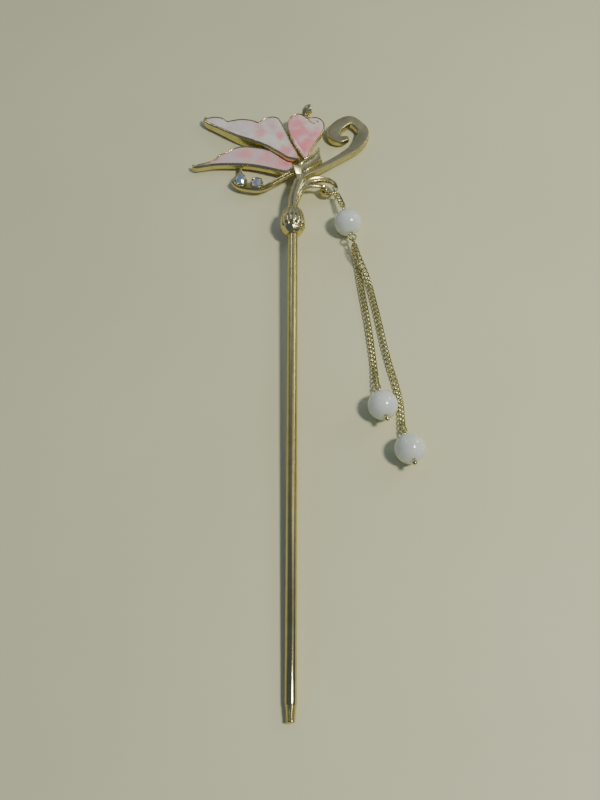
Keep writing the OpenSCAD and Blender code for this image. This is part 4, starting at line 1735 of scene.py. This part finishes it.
@dataclass
class Cups:
    """The two stone cups with their claws, and the post to the lower wing.

    The round cup's claws stand at round_claws degrees, and the drop's in pairs at drop_claws.
    A claw's row is its lean in millimetres, and its height in shares of the cup's and in
    millimetres more. A row of the post is share of the cup's length and of its height.
    """

    around: int = 64
    claw_rows: Table = (
        (0.0, 0.25, 0.0), (0.0, 0.75, 0.0), (0.04, 0.98, 0.0), (0.20, 1.0, 0.16),
    )
    claw_slim: float = 0.8
    ball_low: float = 0.02
    round_in: float = 0.3
    drop_in: float = 0.05
    drop_back: float = 0.12
    drop_reach: float = 0.38
    post_rows: Table = ((0.38, 0.5), (0.55, 0.47))
    post_end: Tuple[float, float] = (0.25, 0.35)
    round_claws: Tuple[float, ...] = (45, 135, 225, 315)
    drop_claws: Tuple[float, ...] = (35, 90, 145)
    claw_up: Point = (0.3, 1, 0.1)
    post_r: float = 0.52

    def claw(self, at: Vector, lean: Vector) -> Shape:
        """A claw that stands on the cup's wall and bends over the stone.

        Args:
            at: its foot.
            lean: direction to the stone's middle.

        Returns:
            Points and faces.
        """
        top = SETTING.tall
        path = [
            at + lean * out + Vector((0, 0, top * share + more))
            for out, share, more in self.claw_rows
        ]
        shaft = wire(smooth(path, 3), SETTING.claw * self.claw_slim, 12, self.claw_up)
        end = ball(path[-1] - Vector((0, 0, self.ball_low)), SETTING.claw, 16)
        return joined([shaft, end])

    def cup(self, outline: Callable, wide: float, long: float, at: Vector) -> Shape:
        """A cup with a rounded lip: insets and heights of its foot, wall, lip and inside.

        Args:
            outline: the cup's outline.
            wide: its width.
            long: its length.
            at: its foot.

        Returns:
            Points and faces.
        """
        t, wall = SETTING.tall, SETTING.wall
        levels = (
            (0.20, 0.0), (0.05, 0.0), (0.0, 0.10), (0.0, t - 0.14), (0.05, t - 0.03),
            (0.16, t + 0.02), (0.29, t - 0.02), (wall, t - 0.10), (wall + 0.02, t * 0.5),
            (wall + 0.6, t * 0.35),
        )
        points = []
        for inset, z in levels:
            for i in range(self.around):
                x, y = outline(2 * math.pi * i / self.around)
                px, py = at.x + x * (wide - 2 * inset), at.y + y * (long - 2 * inset)
                points.append((px, py, at.z + z))
        return points, ring_faces(len(levels), self.around)

    def build(self) -> None:
        """Builds both cups, the claws and the post."""
        round_at, drop_at = SETTING.seats()
        wide, long = SETTING.drop_cup
        r, tall = SETTING.round_r, SETTING.tall
        parts = [
            self.cup(circle_at, 2 * r, 2 * r, round_at),
            self.cup(pear_at, wide, long, drop_at),
        ]
        for degrees in self.round_claws:
            a = math.radians(degrees)
            out = Vector((math.cos(a), math.sin(a), 0))
            parts.append(self.claw(round_at + out * (r - SETTING.wall * self.round_in), -out))
        for degrees in self.drop_claws:
            a = math.radians(degrees)
            for side in (-1, 1):
                x = side * (wide / 2 - self.drop_in) * math.sin(a)
                y = -SETTING.drop_len * self.drop_back
                y -= long * self.drop_reach * math.cos(math.pi - a)
                parts.append(self.claw(drop_at + Vector((x, y, 0)), Vector((-side, 0, 0))))
        post = [drop_at + Vector((0, long * y, tall * z)) for y, z in self.post_rows]
        wing_y = PLAN.top_y + HINDWING.root[1] + HINDWING.wide * self.post_end[0]
        post.append(Vector((drop_at.x, wing_y, SETTING.foot + tall * self.post_end[1])))
        parts.append(wire(smooth(post, 4), self.post_r, 16))
        build_piece("stone_cups", joined(parts), FRAME_NODE, PlatedMetal(), angle=40.0)


@dataclass
class RolledCurl:
    """The rolled horn at the notch of the heart-shaped wing, its stem and the curl in the lobe."""

    path: Table = (
        (3.30, 37.60, 4.8, 0.50), (3.55, 38.30, 5.1, 1.00), (4.00, 39.00, 5.4, 1.30),
        (4.70, 39.50, 5.6, 1.45), (5.50, 39.70, 5.7, 1.45),
    )
    wall: float = 0.32
    deep: float = 1.6
    around: int = 40
    curl: Table = (
        (4.55, 36.35), (5.10, 35.10), (5.75, 34.35), (6.55, 34.00), (7.40, 34.15), (7.75, 34.75),
        (7.35, 35.10),
    )
    curl_over: float = 0.10
    curl_r: float = 0.17
    stem_r: float = 0.5
    start_dome: Tuple[float, ...] = (-0.94, -0.7, -0.35)
    lip: Table = ((0.10, 0.04), (0.15, 0.14), (0.15, 0.26), (0.08, 0.36))

    def horn(self) -> Shape:
        """The bent horn with a domed start and an open, rounded mouth.

        Returns:
            Points and faces.
        """
        rows = smooth(self.path, 6)
        mids = [PLAN.on_head(*r[:3]) for r in rows]
        slopes = slopes_along(mids)
        mouth, t, end = mids[-1], slopes[-1], rows[-1][3]
        rings = dome(mids[0], slopes[0], rows[0][3], self.start_dome)
        rings += [(m, slope, r[3]) for m, slope, r in zip(mids, slopes, rows)]
        for out, inset in (*self.lip, (0.0, self.wall)):
            rings.append((mouth + t * out, t, end - inset))
        rings.append((mouth - t * self.deep * 0.6, t, end - self.wall - 0.1))
        rings.append((mouth - t * self.deep, t, (end - self.wall) * 0.5))
        return round_rings(rings, self.around, UP)

    def build(self) -> None:
        """Builds the horn, the stem and the curl."""
        long, wide = HEART_WING.long, HEART_WING.wide
        low = -(HEART_WING.plate + HEART_WING.tray) / 2
        stem = [
            (long * 0.90, wide * 0.08, low),
            (long * 0.95, wide * 0.09, low * 0.8),
            (long * 1.03, wide * 0.10, -HEART_WING.plate / 2),
        ]
        wing = HEART_WING.matrix()
        back = wing.inverted()
        line = []
        for x, y in self.curl:
            p = back @ PLAN.on_head(x, y, HEART_WING.root[2])
            line.append((p.x, p.y, self.curl_over))
        parts = [
            self.horn(),
            moved(wing, wire(stem, self.stem_r, 12)),
            moved(wing, wire(smooth(line, 6), self.curl_r, 10)),
        ]
        build_piece("rolled_curl", joined(parts), FRAME_NODE, SatinMetal(), angle=40.0)


@dataclass
class CutBud:
    """The two cut faces of the body over the neck's end."""

    face: Tuple[Point, ...] = (
        (-0.15, 15.90, 7.20), (2.50, 15.80, 6.34), (2.60, 13.65, 5.36), (0.95, 13.10, 5.62),
    )
    tongue: Tuple[Point, ...] = ((0.80, 13.10, 6.55), (2.65, 13.10, 6.05), (1.50, 10.30, 5.85))
    deep: float = 1.5
    spread: float = 0.25
    soft: float = 0.12

    def solid(self, face: Sequence[Point]) -> Shape:
        """A cut face over a wider foot.

        Args:
            face: the face's corners.

        Returns:
            Points and faces.
        """
        top = [PLAN.on_head(*corner) for corner in face]
        mid = sum(top, Vector()) / len(top)
        foot = []
        for p in top:
            out = (p - mid) * self.spread
            foot.append(Vector((p.x + out.x, p.y + out.y, min(p.z, mid.z) - self.deep)))
        return [tuple(p) for p in foot + top], ring_faces(2, len(top))

    def build(self) -> None:
        """Builds both and softens their edges."""
        piece = place("cut_bud", *joined([self.solid(self.face), self.solid(self.tongue)]))
        mesh = bmesh.new()
        mesh.from_mesh(piece.data)
        edges = list(mesh.edges)
        bmesh.ops.bevel(
            mesh, geom=edges, offset=self.soft * MM, segments=3, affect="EDGES", profile=0.5
        )
        mesh.to_mesh(piece.data)
        mesh.free()
        finish_piece(piece, [FRAME_NODE], PlatedMetal(), angle=25.0)


# The drop.


@dataclass(frozen=True)
class Seat:
    """A bead's place from the drop's eye, and its pin's heading and dip in degrees."""

    at: Tuple[float, float]
    heading: float
    dip: float


@dataclass(frozen=True)
class Drop:
    """Places and sizes of the hanging drop, in millimetres."""

    bead_d: float = 8.0
    hole_d: float = 1.0
    pin_d: float = 0.5
    ball_d: float = 1.5
    loop_id: float = 1.7
    loop_clear: float = 0.3
    ring_d: float = 3.8
    spreader_d: float = 3.2
    ring_wire: float = 0.5
    band_clear: float = 0.35
    lean: float = -25.0
    dip: float = 20.0
    eye_row: int = 8
    upper: Seat = Seat((3.5, -12.8), 102.0, 0.0)
    left: Seat = Seat((11.1, -72.2), 99.0, 18.0)
    right: Seat = Seat((17.5, -84.5), 99.0, 20.0)

    @property
    def eye(self) -> Vector:
        """Where the jump ring hangs round the hook's band."""
        rows = HOOK.placed()
        a, b = rows[self.eye_row], rows[self.eye_row + 1]
        return Vector([(p + q) / 2 for p, q in zip(a[:3], b[:3])])

    @property
    def loop_r(self) -> float:
        """Radius of a pin loop's middle line."""
        return (self.loop_id + self.pin_d) / 2

    @property
    def loop_at(self) -> float:
        """From a bead's middle to a loop's middle."""
        return self.bead_d / 2 + self.loop_clear + self.loop_r

    def middle(self, seat: Seat) -> Vector:
        """A bead's middle."""
        return Vector((self.eye.x + seat.at[0], self.eye.y + seat.at[1], self.bead_d / 2))

    @staticmethod
    def along(heading: float, dip: float) -> Vector:
        """Direction of a bead's pin."""
        h, d = math.radians(heading), math.radians(dip)
        return Vector((math.cos(d) * math.cos(h), math.cos(d) * math.sin(h), -math.sin(d)))

    def on_bead(self, seat: Seat) -> Matrix:
        """Places what is drawn along +X on a bead's pin."""
        return (
            Matrix.Translation(self.middle(seat))
            @ Matrix.Rotation(math.radians(seat.heading), 4, "Z")
            @ Matrix.Rotation(math.radians(seat.dip), 4, "Y")
        )


DROP = Drop()


@dataclass
class Bead:
    """Drilled round bead with a softened hole.

    The throat is share of the hole's radius and depth under the hole's rim.
    """

    name: str
    node: str
    seat: Seat
    around: int = 72
    rings: int = 48
    soft: float = 0.03
    throat: Table = ((0.98, 0.5), (1.0, 0.10))

    def build(self) -> None:
        """Builds the bead."""
        r, hole = DROP.bead_d / 2, DROP.hole_d / 2
        rim = math.sqrt(r * r - hole * hole)
        start = math.asin(hole / r) + self.soft
        profile = [(hole * share, deep - rim) for share, deep in self.throat]
        for i in range(self.rings + 1):
            a = start + (math.pi - 2 * start) * i / self.rings
            profile.append((r * math.sin(a), -r * math.cos(a)))
        profile += [(hole * share, rim - deep) for share, deep in self.throat[::-1]]
        at = DROP.on_bead(self.seat) @ Matrix.Rotation(math.radians(-90), 4, "Z")
        shape = moved(at, turned_rings(profile, self.around))
        build_piece(self.name, shape, self.node, JadeStone(), angle=60.0)


LOOP_STEPS = 40
"""Straight steps in a pin's loop."""


def loop_path(centre: float, flat: bool, start: float, sweep: float) -> List[Vector]:
    """Middle line of a pin's loop.

    Args:
        centre: the loop's middle along the pin.
        flat: whether the loop lies level.
        start: first angle in degrees.
        sweep: how far it runs, in degrees.

    Returns:
        The points.
    """
    made = []
    for i in range(LOOP_STEPS + 1):
        a = math.radians(start + sweep * i / LOOP_STEPS)
        u, v = DROP.loop_r * math.cos(a), DROP.loop_r * math.sin(a)
        made.append(Vector((centre + u, v, 0)) if flat else Vector((centre + u, 0, v)))
    return made


@dataclass
class Pin:
    """Wire pin through a bead, with a loop or a ball at each end."""

    name: str
    node: str
    seat: Seat
    both: bool = False
    around: int = 14
    ball_around: int = 28
    ball_gap: float = 0.05
    loop_from: float = 8.0
    loop_sweep: float = 338.0

    def build(self) -> None:
        """Builds the pin from one bent wire."""
        r = DROP.pin_d / 2
        neck = DROP.loop_at - DROP.loop_r
        upper = loop_path(DROP.loop_at, False, 180 - self.loop_from, -self.loop_sweep)
        parts = [wire(upper, r, self.around, (0, 1, 0))]
        if self.both:
            end = -neck
            lower = loop_path(-DROP.loop_at, True, self.loop_from, self.loop_sweep)
            parts.append(wire(lower, r, self.around))
        else:
            end = -(DROP.bead_d / 2 + DROP.ball_d / 2 + self.ball_gap)
        parts.append(wire([(end, 0, 0), (0, 0, 0), (neck, 0, 0)], r, self.around))
        if not self.both:
            parts.append(ball((end, 0, 0), DROP.ball_d / 2, self.ball_around))
        shape = moved(DROP.on_bead(self.seat), joined(parts))
        build_piece(self.name, shape, self.node, ChainMetal(), angle=50.0)


@dataclass
class JumpRing:
    """Open jump ring with its two cut ends close together."""

    name: str
    node: str
    at: Vector
    along: Vector
    up: Vector
    outside: float
    gap: float = 6.0
    cut: float = 60.0
    steps: int = 56
    around: int = 14

    def build(self) -> None:
        """Builds the ring."""
        r = (self.outside - DROP.ring_wire) / 2
        path = []
        for i in range(self.steps + 1):
            a = math.radians(self.cut + self.gap / 2 + (360 - self.gap) * i / self.steps)
            path.append(self.at + r * (math.cos(a) * self.along + math.sin(a) * self.up))
        normal = tuple(self.along.cross(self.up))
        shape = wire(path, DROP.ring_wire / 2, self.around, normal)
        build_piece(self.name, shape, self.node, ChainMetal(), angle=50.0)


@dataclass
class Chains:
    """The short chain and the two long ones, each of interlocked curb links."""

    pitch: float = 1.35
    half_w: float = 0.74
    half_len: float = 1.02
    twist: float = 0.38
    wire_d: float = 0.38
    clear: float = 0.22
    spread: float = 25.0
    ring_roll: float = 15.0
    loop_roll: float = -16.0
    roll_links: int = 4
    around: int = 16
    sides: int = 6
    route_steps: int = 8
    left: Tuple[Point, ...] = (
        (5.6, -22.7, 0.85), (6.0, -25.0, 0.65), (6.85, -32.8, 0.65), (7.7, -39.5, 0.65),
        (8.5, -46.1, 0.65), (9.1, -52.5, 0.65), (9.6, -58.8, 0.65),
    )
    right: Tuple[Point, ...] = (
        (5.95, -23.7, 3.5), (6.9, -26.0, 2.6), (8.05, -28.4, 1.5), (9.1, -31.7, 0.75),
        (10.6, -39.5, 0.65), (11.7, -46.1, 0.65), (12.7, -52.5, 0.65), (13.9, -58.8, 0.65),
        (15.3, -64.9, 0.65), (16.2, -70.6, 0.65),
    )
    tree: Optional[bpy.types.NodeTree] = None

    def hang(self, held: float) -> float:
        """How far an end link lies from the wire that it hangs on."""
        return self.half_len - self.wire_d / 2 - held / 2 - self.clear

    def lead(self, start: Vector, radius: float, held: float, pull: Vector) -> List[Vector]:
        """Two points straight out of what a chain hangs on."""
        first = radius + self.hang(held)
        return [start + first * pull, start + (first + self.pitch) * pull]

    def sizes(self) -> "Dict[str, float | int]":
        """The link's sizes in metres and its counts, by the names of the group's inputs."""
        return {
            "Half Width": self.half_w * MM, "Half Length": self.half_len * MM,
            "Twist": self.twist * MM, "Wire Radius": self.wire_d / 2 * MM,
            "Points Around": self.around, "Wire Sides": self.sides,
        }

    def group(self) -> bpy.types.NodeTree:
        """Geometry Nodes that bend one curb link and set it at every point.

        Returns:
            The tree, with inputs for the link's sizes and its finish.
        """
        if self.tree:
            return self.tree
        tree = bpy.data.node_groups.new("curb_chain", "GeometryNodeTree")
        face = tree.interface
        face.new_socket("Geometry", in_out="INPUT", socket_type="NodeSocketGeometry")
        for name, value in self.sizes().items():
            kind = "NodeSocketInt" if isinstance(value, int) else "NodeSocketFloat"
            face.new_socket(name, in_out="INPUT", socket_type=kind)
        face.new_socket("Finish", in_out="INPUT", socket_type="NodeSocketMaterial")
        face.new_socket("Geometry", in_out="OUTPUT", socket_type="NodeSocketGeometry")
        kit = NodeKit(tree)
        inside, outside = kit.add("NodeGroupInput"), kit.add("NodeGroupOutput")
        ring = kit.add("GeometryNodeCurvePrimitiveCircle", mode="RADIUS")
        kit.join(inside.outputs["Points Around"], ring.inputs["Resolution"])
        ring.inputs["Radius"].default_value = 1.0
        at = kit.add("ShaderNodeSeparateXYZ")
        kit.join(kit.add("GeometryNodeInputPosition").outputs["Position"], at.inputs[0])
        across = kit.math("MULTIPLY", at.outputs["X"], inside.outputs["Half Width"])
        along = kit.math("MULTIPLY", at.outputs["Y"], inside.outputs["Half Length"])
        both = kit.math("MULTIPLY", at.outputs["X"], at.outputs["Y"])
        lift = kit.math("MULTIPLY", kit.math("MULTIPLY", both, 2.0), inside.outputs["Twist"])
        bent = kit.add("ShaderNodeCombineXYZ")
        for socket, value in zip(bent.inputs, (across, along, lift)):
            kit.join(value, socket)
        shaped = kit.add("GeometryNodeSetPosition")
        kit.join(ring.outputs["Curve"], shaped.inputs["Geometry"])
        kit.join(bent.outputs[0], shaped.inputs["Position"])
        section = kit.add("GeometryNodeCurvePrimitiveCircle", mode="RADIUS")
        kit.join(inside.outputs["Wire Sides"], section.inputs["Resolution"])
        kit.join(inside.outputs["Wire Radius"], section.inputs["Radius"])
        solid = kit.add("GeometryNodeCurveToMesh")
        kit.join(shaped.outputs["Geometry"], solid.inputs["Curve"])
        kit.join(section.outputs["Curve"], solid.inputs["Profile Curve"])
        turn = kit.add("GeometryNodeInputNamedAttribute", data_type="FLOAT_VECTOR")
        turn.inputs["Name"].default_value = "turn"
        spin = kit.add("FunctionNodeEulerToRotation")
        kit.join(turn.outputs["Attribute"], spin.inputs["Euler"])
        copies = kit.add("GeometryNodeInstanceOnPoints")
        kit.join(inside.outputs["Geometry"], copies.inputs["Points"])
        kit.join(solid.outputs["Mesh"], copies.inputs["Instance"])
        kit.join(spin.outputs["Rotation"], copies.inputs["Rotation"])
        real = kit.add("GeometryNodeRealizeInstances")
        kit.join(copies.outputs["Instances"], real.inputs["Geometry"])
        dressed = kit.add("GeometryNodeSetMaterial")
        kit.join(real.outputs["Geometry"], dressed.inputs["Geometry"])
        kit.join(inside.outputs["Finish"], dressed.inputs["Material"])
        kit.join(dressed.outputs["Geometry"], outside.inputs["Geometry"])
        self.tree = tree
        return tree

    def links(
        self, points: Sequence[Row], start_roll: float
    ) -> Tuple[List[Vector], List[Tuple[float, float, float]]]:
        """Middle and turn of each link along a route.

        Args:
            points: the route.
            start_roll: how far the first link turns about the chain, in degrees.

        Returns:
            The middles and the Euler turns.
        """
        path = [Vector(p) for p in smooth(points, self.route_steps)]
        sums = [0.0]
        for a, b in zip(path, path[1:]):
            sums.append(sums[-1] + (b - a).length)
        count = round(sums[-1] / self.pitch) + 1
        spacing = sums[-1] / (count - 1)
        mids, turns = [], []
        leg = 0
        for n in range(count):
            s = n * spacing
            while leg < len(path) - 2 and sums[leg + 1] < s:
                leg += 1
            slope = (path[leg + 1] - path[leg]).normalized()
            mids.append(path[leg] + slope * (s - sums[leg]))
            roll = start_roll * max(0.0, 1 - n / self.roll_links)
            roll += self.loop_roll * max(0.0, 1 - (count - 1 - n) / self.roll_links)
            level = slope.cross(UP).normalized()
            high = level.cross(slope)
            c, k = math.cos(math.radians(roll)), math.sin(math.radians(roll))
            side, up = c * level + k * high, c * high - k * level
            turn = Matrix((side, slope, up)).transposed()
            turns.append(tuple(turn.to_euler("XYZ")))
        return mids, turns

    def build_one(self, name: str, node: str, points: Sequence[Row], roll: float) -> None:
        """Builds one chain.

        Args:
            name: the piece's name.
            node: the CAD node that it stands for.
            points: the chain's route.
            roll: turn of its first link, in degrees.
        """
        mids, turns = self.links(points, roll)
        mesh = bpy.data.meshes.new(name + "_route")
        mesh.from_pydata([tuple(m * MM) for m in mids], [], [])
        turn = mesh.attributes.new("turn", "FLOAT_VECTOR", "POINT")
        turn.data.foreach_set("vector", [c for t in turns for c in t])
        route = new_object(name + "_route", mesh)
        modifier = route.modifiers.new("links", "NODES")
        modifier.node_group = self.group()
        values = {**self.sizes(), "Finish": ChainMetal().material()}
        for item in modifier.node_group.interface.items_tree:
            if item.item_type == "SOCKET" and item.in_out == "INPUT" and item.name in values:
                modifier[item.identifier] = values[item.name]
        seen = route.evaluated_get(bpy.context.evaluated_depsgraph_get())
        plain = bpy.data.meshes.new_from_object(seen)
        bpy.data.objects.remove(route)
        made = bmesh.new()
        made.from_mesh(plain)
        bmesh.ops.recalc_face_normals(made, faces=made.faces)
        made.to_mesh(plain)
        made.free()
        plain.name = name
        finish_piece(new_object(name, plain), [node], ChainMetal(), angle=12.0)

    def build(self) -> None:
        """Builds the rings and the three chains."""
        eye, wire_d = DROP.eye, DROP.ring_wire
        bead_at = DROP.middle(DROP.upper)
        to_loop = DROP.loop_at * DROP.along(DROP.upper.heading, DROP.upper.dip)
        top_loop = bead_at + to_loop
        ring_r = (DROP.ring_d - wire_d) / 2
        band = HOOK.placed()[DROP.eye_row][3]
        flat = top_loop - eye
        flat.z = 0
        away = ring_r - wire_d / 2 - band / 2 - DROP.band_clear
        ring_at = eye + away * flat.normalized()
        pull = (top_loop - ring_at).normalized()
        across = pull.cross(UP).normalized()
        lean = math.radians(DROP.lean)
        ring_up = math.cos(lean) * across.cross(pull) - math.sin(lean) * across
        JumpRing("hook_jump_ring", "hook_ring", ring_at, pull, ring_up, DROP.ring_d).build()
        spread_r = (DROP.spreader_d - wire_d) / 2
        down = DROP.along(DROP.upper.heading + 180, DROP.dip)
        up = down.cross(UP).normalized().cross(down)
        below = DROP.loop_r - DROP.pin_d / 2 - wire_d / 2 - DROP.loop_clear + spread_r
        spread_at = bead_at - to_loop + below * down
        JumpRing(
            "spreader_jump_ring", "spreader_ring", spread_at, down, up, DROP.spreader_d, cut=180.0
        ).build()
        first = ring_at + (ring_r + self.hang(wire_d)) * pull
        last = top_loop - (DROP.loop_r + self.hang(DROP.pin_d)) * pull
        self.build_one("short_chain", "connector_chain", [first, last], DROP.lean)
        for name, node, route, side, seat in (
            ("left_curb_chain", "left_chain", self.left, -1, DROP.left),
            ("right_curb_chain", "right_chain", self.right, 1, DROP.right),
        ):
            a = math.radians(side * self.spread)
            start = self.lead(
                spread_at, spread_r, wire_d, math.cos(a) * down + math.sin(a) * up
            )
            middle = [Vector((eye.x + x, eye.y + y, z)) for x, y, z in route]
            axis = DROP.along(seat.heading, seat.dip)
            loop = DROP.middle(seat) + DROP.loop_at * axis
            end = self.lead(loop, DROP.loop_r, DROP.pin_d, axis)
            self.build_one(name, node, start + middle + end[::-1], self.ring_roll)


def build_drop() -> None:
    """Builds the beads, the pins, the rings and the chains of the hanging drop."""
    for side, seat, pin, both in (
        ("upper", DROP.upper, "eye_pin", True),
        ("left", DROP.left, "left_head_pin", False),
        ("right", DROP.right, "right_head_pin", False),
    ):
        Bead(side + "_stone_bead", side + "_bead", seat).build()
        Pin(pin + "_wire", pin, seat, both).build()
    Chains().build()


# The stage.


@dataclass(frozen=True)
class Lamp:
    """A soft rectangular light or a dim card that metal can reflect."""

    name: str
    at: Point
    wide: float
    high: float
    power: float
    colour: Colour


@dataclass
class Studio:
    """Floor, lights and camera."""

    floor_half: float = 2.0
    lamps: Tuple[Lamp, ...] = (
        Lamp("key", (0.292, -0.088, 0.524), 0.085, 0.085, 2.5, (1.0, 0.96, 0.88)),
        Lamp("window", (0.588, 0.40, 0.378), 0.16, 0.16, 0.50, (1.0, 0.97, 0.92)),
        Lamp("ceiling", (0.38, 0.32, 0.62), 1.00, 0.60, 0.46, (0.90, 0.96, 1.0)),
        Lamp("side_panel", (-0.306, 0.42, 0.51), 0.13, 0.06, 0.20, (0.92, 0.96, 1.0)),
        Lamp("far_wall", (-0.10, 0.95, 0.34), 1.40, 0.45, 0.36, (0.92, 0.96, 1.0)),
        Lamp("left_wall", (-0.75, 0.55, 0.17), 1.30, 0.32, 0.30, (0.95, 0.96, 1.0)),
    )
    sky: Colour = (0.44, 0.58, 1.12)
    sky_power: float = 0.21
    aim: Point = (0.0007, -0.0093, 0.0)
    camera_at: Point = (0.0007, -0.10186, 0.19406)
    lens: float = 36.0
    sensor: float = 36.0
    sees: Tuple[float, float] = (0.005, 20.0)

    def aim_from(self, item: bpy.types.Object, at: Point) -> None:
        """Stands a lamp or the camera at a place and turns it to the hairpin."""
        item.location = at
        item.rotation_euler = (Vector(self.aim) - Vector(at)).to_track_quat("-Z", "Y").to_euler()

    def floor(self) -> None:
        """Lays the floor under the hairpin."""
        mesh = bpy.data.meshes.new("floor")
        h = self.floor_half
        mesh.from_pydata([(-h, -h, 0), (h, -h, 0), (h, h, 0), (-h, h, 0)], [], [(0, 1, 2, 3)])
        mesh.materials.append(PaleFloor().material())
        floor = new_object("floor", mesh)

    def light(self) -> None:
        """Adds the lamps, which face the hairpin, and an even sky."""
        for lamp in self.lamps:
            data = bpy.data.lights.new(lamp.name, "AREA")
            data.shape = "RECTANGLE"
            data.size, data.size_y = lamp.wide, lamp.high
            data.energy, data.color = lamp.power, lamp.colour
            self.aim_from(new_object(lamp.name, data), lamp.at)
        world = bpy.data.worlds.new("studio")
        world.use_nodes = True
        back = world.node_tree.nodes["Background"]
        back.inputs["Color"].default_value = (*self.sky, 1.0)
        back.inputs["Strength"].default_value = self.sky_power
        bpy.context.scene.world = world

    def camera(self) -> None:
        """Places the camera at the photo's angle."""
        data = bpy.data.cameras.new("camera")
        data.lens, data.sensor_width = self.lens, self.sensor
        data.clip_start, data.clip_end = self.sees
        camera = new_object("camera", data)
        self.aim_from(camera, self.camera_at)
        bpy.context.scene.camera = camera

    def build(self) -> None:
        """Builds the whole stage."""
        self.floor()
        self.light()
        self.camera()


# Each wing with its enamel. The patches are places in the row frame.

ENAMELS = (
    (
        FOREWING,
        MilkyEnamel(
            "forewing_milk",
            patches=(
                (-11.9, 81.9, 2.2, 0.80), (-5.5, 79.7, 1.5, 0.85), (-8.4, 83.9, 1.6, 0.45),
                (-12.5, 84.8, 1.8, 0.40), (-3.9, 73.2, 3.0, 0.75), (-0.5, 70.0, 3.2, 1.0),
            ),
        ),
    ),
    (
        HINDWING,
        MilkyEnamel(
            "hindwing_milk",
            milk=(0.85, 0.57, 0.45),
            lilac=(0.76, 0.62, 0.56),
            patches=(
                (-16.4, 73.6, 2.6, 0.60), (-9.2, 71.4, 2.8, 0.60), (-3.6, 69.2, 3.2, 1.0),
                (-1.2, 68.2, 2.6, 1.0),
            ),
        ),
    ),
    (
        HEART_WING,
        MilkyEnamel(
            "heart_wing_milk",
            milk=(0.88, 0.73, 0.58),
            lilac=(0.86, 0.58, 0.52),
            patches=(
                (0.5, 80.4, 3.2, 0.95), (-0.4, 84.4, 3.0, 0.80), (6.3, 79.8, 2.6, 0.80),
                (4.2, 79.2, 1.4, 0.85), (1.9, 73.3, 4.0, 1.0), (3.4, 76.1, 3.0, 0.90),
            ),
        ),
    ),
)


def main() -> None:
    """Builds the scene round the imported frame."""
    logging.basicConfig(level=logging.INFO)
    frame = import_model()
    Stick().build()
    Collar().build()
    Neck().build()
    LeafBody().build()
    for bar in (SCROLL, HOOK, STRAND, ARM):
        bar.build()
    for wing, finish in ENAMELS:
        wing.build_frame()
        wing.build_enamel(frame, finish)
    RolledCurl().build()
    CutBud().build()
    Cups().build()
    round_at, drop_at = SETTING.seats()
    girdle = Vector((0, 0, SETTING.girdle))
    CutStone(
        "round_cut_stone", "round_stone", circle_at, SETTING.round_d, SETTING.round_d,
        round_at + girdle,
    ).build()
    CutStone(
        "drop_cut_stone", "drop_stone", pear_at, SETTING.drop_w, SETTING.drop_len, drop_at + girdle
    ).build()
    build_drop()
    Studio().build()


if __name__ == "__main__":
    main()
